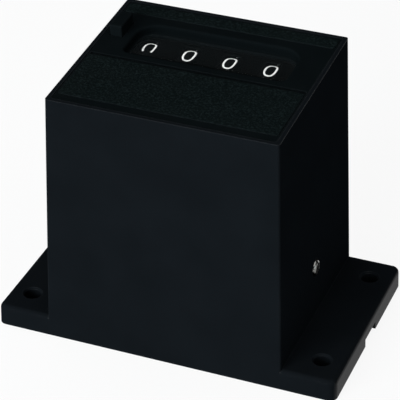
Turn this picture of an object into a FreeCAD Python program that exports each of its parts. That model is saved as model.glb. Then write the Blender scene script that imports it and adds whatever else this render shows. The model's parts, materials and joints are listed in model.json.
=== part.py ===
import FreeCAD, Part
import math
import os

# Base-mounted four-figure impulse counter with a push reset.
# Millimetres. Origin at the middle of the footprint, on the surface it is screwed to.
# +Z up, +X to the right of the reader, the front faces -Y.

V = FreeCAD.Vector
X_AXIS = V(1, 0, 0)

# ---- housing ---------------------------------------------------------------
BODY_WIDTH = 50.0
BODY_DEPTH = 42.8
FRONT_HEIGHT = 54.3
BACK_HEIGHT = 56.4
DRAFT = math.radians(1.6)
WALL = 1.8
BODY_CORNER_R = 0.5
EAR_LENGTH = 11.1
FLANGE_THICKNESS = 4.4
FLANGE_CORNER_R = 1.6
FLANGE_EDGE_R = 1.0
MOUNT_SPACING_X = 62.4
MOUNT_SPACING_Y = 30.0
MOUNT_HOLE_R = 1.7
MOUNT_HOLE_CHAMFER = 0.35
NOTCH_WIDTH = 6.5
NOTCH_HEIGHT = 1.7
NOTCH_Y = 0.9
RIM = 0.8

# ---- face plate, window and key --------------------------------------------
PLATE_THICKNESS = 3.3
PLATE_GAP = 0.08
PLATE_DROP = 0.12
PLATE_CORNER_R = 0.7
PAD_HEIGHT = 0.12
PAD_CORNER_R = 0.6
PAD_SIDE_MARGIN = 0.4
FRONT_PAD = (-17.0, -2.15)
BACK_PAD = (15.0, 18.5)
GROOVE = (-2.0, -1.1)
GROOVE_DEPTH = 0.4
POCKET_LEFT = -16.7
POCKET_RIGHT = 17.0
POCKET_FRONT = 1.0
POCKET_BACK = 12.3
POCKET_DEPTH = 1.9
POCKET_BACK_R = 4.5
POCKET_FRONT_R = 1.5
POCKET_COVE_R = 0.5
POCKET_LIP_R = 0.5
PANE_MARGIN = 0.4
PANE_DEPTH = 8.5
PANE_Y = 7.35
PANE_THICKNESS = 0.8
PANE_PROUD = 0.4
PANE_SEAT = 0.4
PANE_GAP = 0.05
PANE_CORNER_R = 3.4
MASK_THICKNESS = 0.25
APERTURE_Y = 7.15
APERTURE_DEPTH = 5.7
APERTURE_MARGIN = 0.6
DRUM_RELIEF = 0.25
KEY_WIDTH = 2.6
KEY_LENGTH = 5.8
KEY_FRONT = 5.75
KEY_PROUD = 2.3
KEY_WALL_GAP = 0.32
KEY_EDGE_R = 0.35
KEY_GAP = 0.14
KEY_TRAVEL = 2.15
KEY_STEM_WIDTH = 1.2
KEY_STEM_LENGTH = 1.8
KEY_STEM_INSET = 0.3
KEY_STEM_SETBACK = 1.6
KEY_SHOULDER = 1.5
KEY_SHOULDER_THICKNESS = 1.1
KEY_SPRING_R = 0.8
KEY_SPRING_BEHIND = 0.5
KEY_SPRING_PLAY = 0.08

# ---- number wheels ---------------------------------------------------------
DIGITS = 4
WHEEL_PITCH = 8.5
WHEELS_CENTRE_X = -1.15
WHEEL_AXIS_Y = 8.3
WHEEL_R = 8.5
DRUM_BELOW_TOP = 2.9
DRUM_EDGE_R = 0.2
HUB_R = 2.2
GEAR_WIDTH = 1.0
HEART_WIDTH = 1.25
HEART_MIN_R = 2.6
HEART_MAX_R = 5.2
LOCK_WIDTH = 1.0
LOCK_GAP = 0.1
WHEEL_SPACING = 0.55
SHAFT_R = 1.5
RUNNING_CLEARANCE = 0.05

# ---- carry train -----------------------------------------------------------
GEAR_TEETH = 20
PINION_TEETH = 8
MODULE = 0.69
TOOTH_ADDENDUM = 0.9
TOOTH_DEDENDUM = 1.2
PINION_DIRECTION = math.radians(-60)
PINION_SHAFT_R = 0.9
PINION_GAP = 0.15
LOCK_CLEARANCE = 0.17
NOTCH_R = 0.8

# ---- ratchet and pawls -----------------------------------------------------
RATCHET_TEETH = 10
RATCHET_TIP_R = 3.8
RATCHET_ROOT_R = 2.9
RATCHET_WIDTH = 1.2
RATCHET_GAP = 0.25
PAWL_THICKNESS = 0.9
PAWL_CLEARANCE = 0.25
PIN_R = 0.6

# ---- magnet ----------------------------------------------------------------
MAGNET_X = -0.7
MAGNET_Y = 3.0
CORE_R = 3.0
CORE_TOP = 28.0
BOBBIN_R = 10.0
BOBBIN_FLANGE = 1.0
BOBBIN_WALL = 1.0
WINDING_R = 9.2
YOKE_THICKNESS = 2.0
YOKE_WIDTH = 16.0
YOKE_FRONT = -12.5
YOKE_BACK = 12.0
HINGE_PIN_R = 0.6
KNUCKLE_R = 1.3
KNUCKLE_HALF = 4.5
KNUCKLE_GAP = 0.15
SPRING_LUG_DROP = 8.4
SPRING_LUG_THICKNESS = 1.2
TAIL_HALF = 1.5
ARMATURE_THICKNESS = 1.6
ARMATURE_WIDTH = 14.0
ARMATURE_BACK = 9.0
ARMATURE_TAIL = -16.6
ARMATURE_SWING = math.radians(8)
STOP_GAP = 0.05

# ---- frame -----------------------------------------------------------------
SIDE_PLATE = 1.0
SIDE_GAP = 0.35
FRAME_BOTTOM = 3.1
FRAME_TOP = 49.5
FRAME_FRONT = -13.5
FRAME_BACK = 17.0
FLOOR_THICKNESS = 1.5
SPACER_R = 1.6
SPACERS = [(-10.5, 36.0), (15.0, 29.6)]
FLOOR_SCREWS = [(-6.0, 8.6), (9.0, 8.6)]
SCREW_R = 0.8
SCREW_LENGTH = 4.0
SIDE_SCREW_Y = -0.5
SIDE_SCREW_Z = 15.2
SIDE_SCREW_R = 1.1
SIDE_SCREW_HEAD_R = 1.65
SPOTFACE_DEPTH = 0.5
BOSS_R = 2.6

# ---- reset bail ------------------------------------------------------------
BAIL_Y = -4.0
BAIL_Z = 35.1
BAIL_SHAFT_R = 1.0
BAIL_BOSS_R = 1.9
HAMMER_THICKNESS = 0.9
HAMMER_TIP_WIDTH = 1.6
HAMMER_REST_R = 7.2
LEVER_THICKNESS = 1.0
LEVER_GAP = 0.1

# ---- base ------------------------------------------------------------------
BASE_PLATE = 1.5
BASE_RECESS = 0.3
BASE_LEDGE = 1.0
BASE_GAP = 0.1
BASE_BOSS_R = 2.4
BASE_BOSS_TOP = 13.0
BASE_BOSS_INSET = 2.8
BASE_SCREW_R = 1.1
BASE_SCREW_HEAD_R = 2.0
BASE_SCREW_LENGTH = 7.0
TERMINAL_HEIGHT = 5.4
TERMINAL_YS = (-3.0, 5.0)
TERMINAL_SCREW_HEAD_R = 1.6
LEAD_R = 0.4

# ---- derived places --------------------------------------------------------
TAPER = math.tan(DRAFT)
TOP_FRONT_Y = -(BODY_DEPTH / 2 - FRONT_HEIGHT * TAPER)
TOP_BACK_Y = BODY_DEPTH / 2 - BACK_HEIGHT * TAPER
SLOPE = math.atan2(BACK_HEIGHT - FRONT_HEIGHT, TOP_BACK_Y - TOP_FRONT_Y)
TOP_MID_Z = FRONT_HEIGHT - TOP_FRONT_Y * math.tan(SLOPE)
TOP_HALF_X = BODY_WIDTH / 2 - BACK_HEIGHT * TAPER

PLATE_HALF_X = TOP_HALF_X - RIM - PLATE_GAP
PLATE_FRONT = TOP_FRONT_Y / math.cos(SLOPE) + RIM + PLATE_GAP
PLATE_BACK = TOP_BACK_Y / math.cos(SLOPE) - RIM - PLATE_GAP
PANE_LEFT = POCKET_LEFT + PANE_MARGIN
PANE_RIGHT = POCKET_RIGHT - PANE_MARGIN
PANE_FRONT = PANE_Y - PANE_DEPTH / 2
PANE_BACK = PANE_Y + PANE_DEPTH / 2
PANE_TOP = POCKET_DEPTH - PANE_PROUD
PANE_BOTTOM = PANE_TOP + PANE_THICKNESS

KEY_LEFT = WALL - TOP_HALF_X + KEY_WALL_GAP
KEY_RIGHT = KEY_LEFT + KEY_WIDTH
KEY_BACK = KEY_FRONT + KEY_LENGTH
KEY_STEM_X = KEY_LEFT + KEY_STEM_INSET + KEY_STEM_WIDTH / 2
KEY_STEM_FRONT = KEY_FRONT + KEY_STEM_SETBACK
SHOULDER_TOP = PLATE_THICKNESS + PLATE_DROP + 0.15
SHOULDER_BOTTOM = SHOULDER_TOP + KEY_SHOULDER_THICKNESS

WHEEL_AXIS_Z = (TOP_MID_Z + WHEEL_AXIS_Y * math.tan(SLOPE)
                - (WHEEL_R + DRUM_BELOW_TOP) / math.cos(SLOPE))
WHEEL_XS = [WHEELS_CENTRE_X + (i - (DIGITS - 1) / 2) * WHEEL_PITCH for i in range(DIGITS)]
WHEEL_NAMES = ["thousands", "hundreds", "tens", "units"]
DRUM_WIDTH = WHEEL_PITCH - GEAR_WIDTH - HEART_WIDTH - LOCK_GAP - LOCK_WIDTH - WHEEL_SPACING
DRUM_HALF = DRUM_WIDTH / 2
APERTURE_WIDTH = DRUM_WIDTH - 2 * APERTURE_MARGIN

GEAR_PITCH_R = MODULE * GEAR_TEETH / 2
PINION_PITCH_R = MODULE * PINION_TEETH / 2
CENTRE_DISTANCE = GEAR_PITCH_R + PINION_PITCH_R
PINION_TIP_R = PINION_PITCH_R + TOOTH_ADDENDUM * MODULE
PINION_Y = WHEEL_AXIS_Y + CENTRE_DISTANCE * math.cos(PINION_DIRECTION)
PINION_Z = WHEEL_AXIS_Z + CENTRE_DISTANCE * math.sin(PINION_DIRECTION)
LOCK_R = CENTRE_DISTANCE - PINION_TIP_R - LOCK_CLEARANCE

LEFT_INNER = WHEEL_XS[0] - DRUM_HALF - HEART_WIDTH - SIDE_GAP
LEFT_OUTER = LEFT_INNER - SIDE_PLATE
RATCHET_X0 = WHEEL_XS[-1] + DRUM_HALF + RATCHET_GAP
RATCHET_X1 = RATCHET_X0 + RATCHET_WIDTH
RIGHT_INNER = RATCHET_X1 + 2 * SIDE_GAP
RIGHT_OUTER = RIGHT_INNER + SIDE_PLATE
FLOOR_TOP = FRAME_BOTTOM + FLOOR_THICKNESS
YOKE_FLOOR_TOP = FLOOR_TOP + YOKE_THICKNESS

HINGE_Y = YOKE_FRONT + YOKE_THICKNESS / 2
CORE_REACH = MAGNET_Y + CORE_R - HINGE_Y
HINGE_Z = CORE_TOP + CORE_REACH * math.tan(ARMATURE_SWING) + STOP_GAP
PAWL_X0 = RATCHET_X0 + (RATCHET_WIDTH - PAWL_THICKNESS) / 2
PAWL_X1 = PAWL_X0 + PAWL_THICKNESS
PAWL_TIP_R = RATCHET_TIP_R + PAWL_CLEARANCE
DRIVE_PIN_Y = WHEEL_AXIS_Y - PAWL_TIP_R - 0.7
DRIVE_PIN_Z = HINGE_Z + ARMATURE_THICKNESS + 2.3
HOLD_PIN_Y = WHEEL_AXIS_Y + PAWL_TIP_R + 1.6
HOLD_PIN_Z = WHEEL_AXIS_Z + 4.2

KEY_STEM_BOTTOM_Z = WHEEL_AXIS_Z - 0.4
LEVER_TIP_Y = KEY_STEM_FRONT + KEY_STEM_LENGTH
LEVER_X0 = KEY_STEM_X - LEVER_THICKNESS / 2
LEVER_X1 = KEY_STEM_X + LEVER_THICKNESS / 2
SPRING_TAB_Z = WHEEL_AXIS_Z - 0.6
KEY_SPRING_Y = KEY_BACK + KEY_SPRING_BEHIND
SPRING_LUG_Z = HINGE_Z - SPRING_LUG_DROP
BASE_TOP = BASE_RECESS + BASE_PLATE


# ---- helpers ---------------------------------------------------------------
def block(x0, x1, y0, y1, z0, z1):
    return Part.makeBox(x1 - x0, y1 - y0, z1 - z0, V(x0, y0, z0))


def rod_x(radius, x0, x1, y, z):
    return Part.makeCylinder(radius, x1 - x0, V(x0, y, z), X_AXIS)


def rod_z(radius, z0, z1, x, y):
    return Part.makeCylinder(radius, z1 - z0, V(x, y, z0), V(0, 0, 1))


def prism_x(points, x0, x1):
    """A flat outline of (y, z) points, extruded along X."""
    corners = [V(x0, y, z) for y, z in points]
    wire = Part.makePolygon(corners + [corners[0]])
    return Part.Face(wire).extrude(V(x1 - x0, 0, 0))


def rounded(shape, radius, direction):
    """Round every straight edge that runs along the given direction."""
    edges = []
    for edge in shape.Edges:
        span = edge.Vertexes[-1].Point.sub(edge.Vertexes[0].Point)
        if span.Length > 1e-6 and abs(span.normalize().dot(direction)) > 0.99:
            edges.append(edge)
    return shape.makeFillet(radius, edges)


def round_uprights(shape, radius, test):
    """Round the edges along Z whose middle point passes the test."""
    upright = []
    for edge in edges_at(shape, test):
        if abs(edge.Vertexes[0].Z - edge.Vertexes[-1].Z) > 0.1:
            upright.append(edge)
    return shape.makeFillet(radius, upright)


def edges_at(shape, test):
    """The edges whose middle point passes a test on (x, y, z)."""
    found = []
    for edge in shape.Edges:
        middle = edge.valueAt((edge.FirstParameter + edge.LastParameter) / 2)
        if test(middle):
            found.append(edge)
    return found


def polar(radius, angle):
    """A (y, z) point around the wheel axis."""
    return (WHEEL_AXIS_Y + radius * math.cos(angle), WHEEL_AXIS_Z + radius * math.sin(angle))


def on_top(shape):
    """Carries a shape from the flat drawing of the sloping top, where z = 0 is the top surface."""
    placed = shape.copy()
    placed.rotate(V(0, 0, 0), X_AXIS, math.degrees(SLOPE))
    placed.translate(V(0, 0, TOP_MID_Z))
    return placed


def drafted(half_x, half_y, z0, z1):
    """A block whose walls lean in with height; the half sizes are those at z = 0."""
    wires = []
    for z in (z0, z1):
        x = half_x - z * TAPER
        y = half_y - z * TAPER
        corners = [V(-x, -y, z), V(x, -y, z), V(x, y, z), V(-x, y, z), V(-x, -y, z)]
        wires.append(Part.makePolygon(corners))
    return Part.makeLoft(wires, True, True)


def drill_x(shape, radius, y, z):
    """Drills a hole right through a part along X."""
    return shape.cut(rod_x(radius, -BODY_WIDTH, BODY_WIDTH, y, z))


def tooth_ring(teeth, pitch_r, thickness, phase, y, z, x0, x1):
    """A spur gear blank: straight-sided teeth, the first one centred on the phase angle."""
    step = 2 * math.pi / teeth
    root = pitch_r - TOOTH_DEDENDUM * MODULE
    tip = pitch_r + TOOTH_ADDENDUM * MODULE
    profile = [(root, -0.62), (pitch_r, -0.5), (tip, -0.24), (tip, 0.24), (pitch_r, 0.5), (root, 0.62)]
    points = []
    for i in range(teeth):
        for radius, share in profile:
            angle = phase + i * step + share * thickness * step
            points.append((y + radius * math.cos(angle), z + radius * math.sin(angle)))
    return prism_x(points, x0, x1)


def coil_spring(radius, wire_r, turns, length):
    """A spring along +Z from the origin, ends buried in a flat closing turn."""
    helix = Part.makeHelix((length - 2 * wire_r) / turns, length - 2 * wire_r, radius)
    section = Part.Wire([Part.makeCircle(wire_r, V(radius, 0, 0), V(0, 1, 0))])
    spring = Part.Wire(helix.Edges).makePipeShell([section], True, True)
    spring.translate(V(0, 0, wire_r))
    return spring


def pan_screw(shank_r, length, head_r, head_height):
    """A slotted screw along -Z with the underside of its head at the origin."""
    shank = Part.makeCylinder(shank_r, length, V(0, 0, -length))
    head = Part.makeCylinder(head_r, head_height)
    head = head.makeFillet(head_height * 0.6, edges_at(head, lambda p: p.z > head_height * 0.9))
    slot = block(-2 * head_r, 2 * head_r, -head_r * 0.14, head_r * 0.14, head_height * 0.55, head_height + 1)
    return shank.fuse(head).cut(slot).removeSplitter()


def sink_screw(shank_r, length, head_r):
    """A slotted countersunk screw along -Z with its flat head at the origin."""
    shank = Part.makeCylinder(shank_r, length, V(0, 0, -length))
    head = Part.makeCone(shank_r, head_r, head_r - shank_r, V(0, 0, shank_r - head_r))
    slot = block(-2 * head_r, 2 * head_r, -head_r * 0.14, head_r * 0.14, -0.45, 1)
    return shank.fuse(head).cut(slot).removeSplitter()


def aim(shape, side, x, y, z):
    """Turns a +Z screw so that its head faces +X (side 1) or -X (side -1), and places it."""
    placed = shape.copy()
    placed.rotate(V(0, 0, 0), V(0, 1, 0), 90 * side)
    placed.translate(V(x, y, z))
    return placed


# ---- housing ---------------------------------------------------------------
def outer_wall_x(z):
    return BODY_WIDTH / 2 - z * TAPER


def housing_body():
    flange_x = BODY_WIDTH / 2 + EAR_LENGTH
    flange = drafted(flange_x, BODY_DEPTH / 2, 0, FLANGE_THICKNESS)
    flange = flange.makeFillet(FLANGE_CORNER_R, edges_at(
        flange, lambda p: abs(p.x) > flange_x - 1 and abs(p.y) > BODY_DEPTH / 2 - 1))
    flange = flange.makeFillet(FLANGE_EDGE_R, edges_at(
        flange, lambda p: p.z > FLANGE_THICKNESS - 0.01))
    tower = drafted(BODY_WIDTH / 2, BODY_DEPTH / 2, 0, BACK_HEIGHT + 2)
    tower = tower.makeFillet(BODY_CORNER_R, edges_at(
        tower, lambda p: abs(p.x) > 5 and abs(p.y) > 5 and 1 < p.z < BACK_HEIGHT))
    tower = tower.cut(on_top(block(-BODY_WIDTH, BODY_WIDTH, -BODY_DEPTH, BODY_DEPTH, 0, 10)))
    return flange.fuse(tower).removeSplitter()


def side_bosses():
    bosses = []
    for side, face in ((1, RIGHT_OUTER), (-1, -LEFT_OUTER)):
        outer = outer_wall_x(SIDE_SCREW_Z) - WALL / 2
        x0, x1 = sorted((side * face, side * outer))
        bosses.append(rod_x(BOSS_R, x0, x1, SIDE_SCREW_Y, SIDE_SCREW_Z))
    return bosses


def base_boss_places():
    x = BODY_WIDTH / 2 - WALL - BASE_BOSS_INSET
    y = BODY_DEPTH / 2 - WALL - BASE_BOSS_INSET
    return [(sx * x, sy * y) for sx in (-1, 1) for sy in (-1, 1)]


def housing():
    shell = housing_body()
    cavity = drafted(BODY_WIDTH / 2 - WALL, BODY_DEPTH / 2 - WALL, -1, BACK_HEIGHT + 2)
    shell = shell.cut(cavity)
    pocket = block(-PLATE_HALF_X - PLATE_GAP, PLATE_HALF_X + PLATE_GAP,
                   PLATE_FRONT - PLATE_GAP, PLATE_BACK + PLATE_GAP,
                   -PLATE_THICKNESS - PLATE_DROP, 5)
    shell = shell.cut(on_top(rounded(pocket, PLATE_CORNER_R, V(0, 0, 1))))
    for boss in side_bosses():
        shell = shell.fuse(boss)
    for x, y in base_boss_places():
        corner = block(min(x, 1.3 * x), max(x, 1.3 * x), min(y, 1.3 * y), max(y, 1.3 * y), BASE_TOP, BASE_BOSS_TOP)
        corner = corner.common(drafted(BODY_WIDTH / 2 - WALL / 2, BODY_DEPTH / 2 - WALL / 2, 0, BASE_BOSS_TOP))
        shell = shell.fuse(rod_z(BASE_BOSS_R, BASE_TOP, BASE_BOSS_TOP, x, y)).fuse(corner)
    rebate_x = BODY_WIDTH / 2 - WALL + BASE_LEDGE
    rebate_y = BODY_DEPTH / 2 - WALL + BASE_LEDGE
    shell = shell.cut(block(-rebate_x, rebate_x, -rebate_y, rebate_y, -1, BASE_TOP))
    for x, y in base_boss_places():
        shell = shell.cut(rod_z(BASE_SCREW_R, -1, BASE_TOP + BASE_SCREW_LENGTH, x, y))
    for side in (-1, 1):
        shell = shell.cut(side_screw_bore(side))
        for y in (-MOUNT_SPACING_Y / 2, MOUNT_SPACING_Y / 2):
            shell = shell.cut(mount_hole(side * MOUNT_SPACING_X / 2, y))
    notch = block(rebate_x - 1, BODY_WIDTH, NOTCH_Y - NOTCH_WIDTH / 2, NOTCH_Y + NOTCH_WIDTH / 2, -1, NOTCH_HEIGHT)
    return shell.cut(notch).removeSplitter()


def mount_hole(x, y):
    hole = rod_z(MOUNT_HOLE_R, -1, FLANGE_THICKNESS + 1, x, y)
    wide = MOUNT_HOLE_R + MOUNT_HOLE_CHAMFER
    sink = Part.makeCone(MOUNT_HOLE_R, wide, MOUNT_HOLE_CHAMFER, V(x, y, FLANGE_THICKNESS - MOUNT_HOLE_CHAMFER))
    return hole.fuse(sink)


def side_screw_seat():
    """Distance from the middle to the underside of a side screw's head."""
    return outer_wall_x(SIDE_SCREW_Z) - SPOTFACE_DEPTH


def side_screw_bore(side):
    seat = side_screw_seat()
    x0, x1 = sorted((side * seat, side * BODY_WIDTH))
    spot = rod_x(SIDE_SCREW_HEAD_R + 0.15, x0, x1, SIDE_SCREW_Y, SIDE_SCREW_Z)
    x0, x1 = sorted((side * 10.0, side * BODY_WIDTH))
    return spot.fuse(rod_x(SIDE_SCREW_R, x0, x1, SIDE_SCREW_Y, SIDE_SCREW_Z))


# ---- face plate, window, key ----------------------------------------------
def plate_point(depth):
    """Height in the flat drawing of a level that lies this deep below the plate's face."""
    return -PLATE_DROP - depth


def texture_pad(x0, x1, y0, y1):
    pad = block(x0, x1, y0, y1, plate_point(0.2), plate_point(0) + PAD_HEIGHT)
    return rounded(pad, PAD_CORNER_R, V(0, 0, 1))


def pocket_tool():
    tool = block(POCKET_LEFT, POCKET_RIGHT, POCKET_FRONT, POCKET_BACK, plate_point(POCKET_DEPTH), 3)
    tool = round_uprights(tool, POCKET_BACK_R, lambda p: p.y > POCKET_BACK - 0.01)
    tool = round_uprights(tool, POCKET_FRONT_R, lambda p: p.y < POCKET_FRONT + 0.01)
    return tool.makeFillet(POCKET_COVE_R, edges_at(tool, lambda p: p.z < plate_point(POCKET_DEPTH) + 0.01))


def in_pocket(point):
    return POCKET_LEFT - 0.1 < point.x < POCKET_RIGHT + 0.1 and POCKET_FRONT - 0.1 < point.y < POCKET_BACK + 0.1


def key_slot():
    return block(KEY_LEFT - KEY_GAP, KEY_RIGHT + KEY_GAP, KEY_FRONT - KEY_GAP, KEY_BACK + KEY_GAP,
                 plate_point(PLATE_THICKNESS) - 1, 3)


def pane_outline(margin, bottom, top):
    """A block the size of the pane, drawn in by a margin, with the pane's two round back corners."""
    shape = block(PANE_LEFT + margin, PANE_RIGHT - margin, PANE_FRONT + margin, PANE_BACK - margin, bottom, top)
    return round_uprights(shape, PANE_CORNER_R - margin, lambda p: p.y > PANE_BACK - margin - 0.01)


def drum_relief():
    """Room under the plate for the tops of the figure drums."""
    left = WHEEL_XS[0] - DRUM_HALF - DRUM_RELIEF
    right = WHEEL_XS[-1] + DRUM_HALF + DRUM_RELIEF
    return rod_x(WHEEL_R + DRUM_RELIEF, left, right, WHEEL_AXIS_Y, WHEEL_AXIS_Z)


def face_plate():
    plate = block(-PLATE_HALF_X, PLATE_HALF_X, PLATE_FRONT, PLATE_BACK,
                  plate_point(PLATE_THICKNESS), plate_point(0))
    plate = rounded(plate, PLATE_CORNER_R, V(0, 0, 1)).cut(pocket_tool())
    plate = plate.makeFillet(POCKET_LIP_R, edges_at(
        plate, lambda p: p.z > plate_point(0.01) and in_pocket(p)))
    groove_x = PLATE_HALF_X - PAD_SIDE_MARGIN
    plate = plate.cut(block(-groove_x, groove_x, GROOVE[0], GROOVE[1], plate_point(GROOVE_DEPTH), 3))
    for front, back in (FRONT_PAD, BACK_PAD):
        plate = plate.fuse(texture_pad(-groove_x, groove_x, front, back))
    plate = plate.cut(key_slot())
    plate = plate.cut(pane_outline(0, plate_point(PANE_BOTTOM), 3))
    plate = plate.cut(pane_outline(PANE_SEAT, plate_point(PLATE_THICKNESS) - 1, 3))
    return on_top(plate.removeSplitter()).cut(drum_relief())


def window_pane():
    pane = pane_outline(PANE_GAP, plate_point(PANE_BOTTOM), plate_point(PANE_TOP))
    pane = pane.makeFillet(0.15, edges_at(pane, lambda p: p.z > plate_point(PANE_TOP) - 0.01))
    return on_top(pane)


def window_mask():
    top = plate_point(PANE_BOTTOM)
    mask = pane_outline(PANE_SEAT + PANE_GAP, top - MASK_THICKNESS, top)
    for wheel_x in WHEEL_XS:
        opening = block(wheel_x - APERTURE_WIDTH / 2, wheel_x + APERTURE_WIDTH / 2,
                        APERTURE_Y - APERTURE_DEPTH / 2, APERTURE_Y + APERTURE_DEPTH / 2, top - 1, top + 1)
        mask = mask.cut(rounded(opening, 0.5, V(0, 0, 1)))
    return on_top(mask)


def reset_key():
    top = plate_point(-KEY_PROUD)
    head = block(KEY_LEFT, KEY_RIGHT, KEY_FRONT, KEY_BACK, -SHOULDER_TOP, top)
    head = head.makeFillet(KEY_EDGE_R, edges_at(head, lambda p: p.z > top - 0.01 or abs(p.z) < KEY_PROUD / 2))
    shoulder = block(KEY_LEFT + 0.5, KEY_RIGHT - 0.3, KEY_FRONT - KEY_SHOULDER, KEY_BACK + KEY_SHOULDER,
                     -SHOULDER_BOTTOM, -SHOULDER_TOP)
    stem_bottom = -(TOP_MID_Z + KEY_STEM_FRONT * math.tan(SLOPE) - KEY_STEM_BOTTOM_Z)
    stem = block(KEY_STEM_X - KEY_STEM_WIDTH / 2, KEY_STEM_X + KEY_STEM_WIDTH / 2,
                 KEY_STEM_FRONT, LEVER_TIP_Y, stem_bottom, -SHOULDER_BOTTOM)
    return on_top(head.fuse(shoulder).fuse(stem).removeSplitter())


def reset_key_spring():
    tab_depth = TOP_MID_Z + KEY_SPRING_Y * math.tan(SLOPE) - SPRING_TAB_Z
    length = tab_depth * math.cos(SLOPE) - SHOULDER_BOTTOM - 2 * KEY_SPRING_PLAY
    spring = coil_spring(KEY_SPRING_R, 0.16, 9, length)
    spring.translate(V(KEY_STEM_X, KEY_SPRING_Y, -SHOULDER_BOTTOM - length - KEY_SPRING_PLAY))
    return on_top(spring)


# ---- number wheels ---------------------------------------------------------
def heart_outline():
    """Half an Archimedean spiral and its mirror image, low point towards the hammers."""
    low = math.atan2(BAIL_Z + HAMMER_REST_R - WHEEL_AXIS_Z, -HAMMER_REST_R) + math.radians(10)
    halves = []
    for side in (1, -1):
        points = []
        for step in range(9):
            share = step / 8
            radius = HEART_MIN_R + (HEART_MAX_R - HEART_MIN_R) * share
            points.append(V(0, *polar(radius, low + side * math.pi * share)))
        curve = Part.BSplineCurve()
        curve.interpolate(points)
        halves.append(curve.toShape())
    return Part.Face(Part.Wire(Part.__sortEdges__(halves)))


def heart_cam(x0, x1):
    face = heart_outline()
    face.translate(V(x0, 0, 0))
    return face.extrude(V(x1 - x0, 0, 0))


def lock_disc(x0, x1):
    """Keeps the carry pinion still between carries; its notch lets one carry through."""
    disc = rod_x(LOCK_R, x0, x1, WHEEL_AXIS_Y, WHEEL_AXIS_Z)
    y, z = polar(LOCK_R, PINION_DIRECTION + math.radians(18))
    return disc.cut(rod_x(NOTCH_R, x0 - 1, x1 + 1, y, z))


def wheel_gear(x0, x1):
    phase = PINION_DIRECTION + math.pi / GEAR_TEETH
    return tooth_ring(GEAR_TEETH, GEAR_PITCH_R, 0.44, phase, WHEEL_AXIS_Y, WHEEL_AXIS_Z, x0, x1)


def number_wheel(index):
    x = WHEEL_XS[index]
    left = x - DRUM_HALF
    right = x + DRUM_HALF
    wheel = rod_x(WHEEL_R, left, right, WHEEL_AXIS_Y, WHEEL_AXIS_Z)
    wheel = wheel.makeFillet(DRUM_EDGE_R, [edge for edge in wheel.Edges if edge.Length > WHEEL_R * 6])
    wheel = wheel.fuse(heart_cam(left - HEART_WIDTH, left))
    if index > 0:
        x0 = left - HEART_WIDTH - LOCK_GAP
        wheel = wheel.fuse(rod_x(HUB_R, x0, left, WHEEL_AXIS_Y, WHEEL_AXIS_Z))
        wheel = wheel.fuse(lock_disc(x0 - LOCK_WIDTH, x0))
    if index < DIGITS - 1:
        wheel = wheel.fuse(wheel_gear(right, right + GEAR_WIDTH))
    else:
        wheel = wheel.fuse(rod_x(HUB_R, right, RATCHET_X1, WHEEL_AXIS_Y, WHEEL_AXIS_Z))
    bore = SHAFT_R + RUNNING_CLEARANCE
    return drill_x(wheel, bore, WHEEL_AXIS_Y, WHEEL_AXIS_Z).removeSplitter()


def ratchet_wheel():
    points = []
    for i in range(RATCHET_TEETH):
        angle = 2 * math.pi * i / RATCHET_TEETH
        points.append(polar(RATCHET_ROOT_R, angle))
        points.append(polar(RATCHET_TIP_R, angle))
    ring = prism_x(points, RATCHET_X0, RATCHET_X1)
    return drill_x(ring, HUB_R, WHEEL_AXIS_Y, WHEEL_AXIS_Z)


def transfer_pinion(index):
    """Turns the wheel on its left; it stands between that wheel and the next one down."""
    x0 = WHEEL_XS[index] + DRUM_HALF + PINION_GAP
    x1 = WHEEL_XS[index + 1] - DRUM_HALF - HEART_WIDTH - PINION_GAP
    phase = PINION_DIRECTION + math.pi
    pinion = tooth_ring(PINION_TEETH, PINION_PITCH_R, 0.42, phase, PINION_Y, PINION_Z, x0, x1)
    return drill_x(pinion, PINION_SHAFT_R + RUNNING_CLEARANCE, PINION_Y, PINION_Z)


# ---- frame -----------------------------------------------------------------
def side_plate(x0, x1):
    outline = [(FRAME_FRONT, FRAME_BOTTOM), (FRAME_FRONT, 36.5), (-8.5, 40.5), (-2.0, FRAME_TOP),
               (FRAME_BACK, FRAME_TOP), (FRAME_BACK, 28.0), (14.5, 25.0), (14.5, FRAME_BOTTOM)]
    plate = rounded(prism_x(outline, x0, x1), 1.2, X_AXIS)
    plate = drill_x(plate, SHAFT_R, WHEEL_AXIS_Y, WHEEL_AXIS_Z)
    plate = drill_x(plate, PINION_SHAFT_R, PINION_Y, PINION_Z)
    plate = drill_x(plate, BAIL_SHAFT_R + RUNNING_CLEARANCE, BAIL_Y, BAIL_Z)
    plate = drill_x(plate, SIDE_SCREW_R, SIDE_SCREW_Y, SIDE_SCREW_Z)
    for y, z in SPACERS + FLOOR_SCREWS:
        plate = drill_x(plate, SCREW_R, y, z)
    return plate


def left_side_plate():
    plate = side_plate(LEFT_OUTER, LEFT_INNER)
    tab = block(KEY_STEM_X - KEY_SPRING_R - 0.3, LEFT_OUTER, KEY_SPRING_Y - 1.3, KEY_SPRING_Y + 1.5,
                SPRING_TAB_Z - SIDE_PLATE, SPRING_TAB_Z)
    return plate.fuse(tab).removeSplitter()


def right_side_plate():
    plate = side_plate(RIGHT_INNER, RIGHT_OUTER)
    for y in TERMINAL_YS:
        plate = drill_x(plate, 2 * LEAD_R, y, lead_height())
    return drill_x(plate, PIN_R + RUNNING_CLEARANCE, HOLD_PIN_Y, HOLD_PIN_Z)


def frame_spacers():
    rods = []
    for y, z in SPACERS:
        rod = rod_x(SPACER_R, LEFT_INNER, RIGHT_INNER, y, z)
        depth = SCREW_LENGTH + 0.5
        rod = rod.cut(rod_x(SCREW_R, LEFT_INNER, LEFT_INNER + depth, y, z))
        rods.append(rod.cut(rod_x(SCREW_R, RIGHT_INNER - depth, RIGHT_INNER, y, z)))
    return Part.makeCompound(rods)


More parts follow.
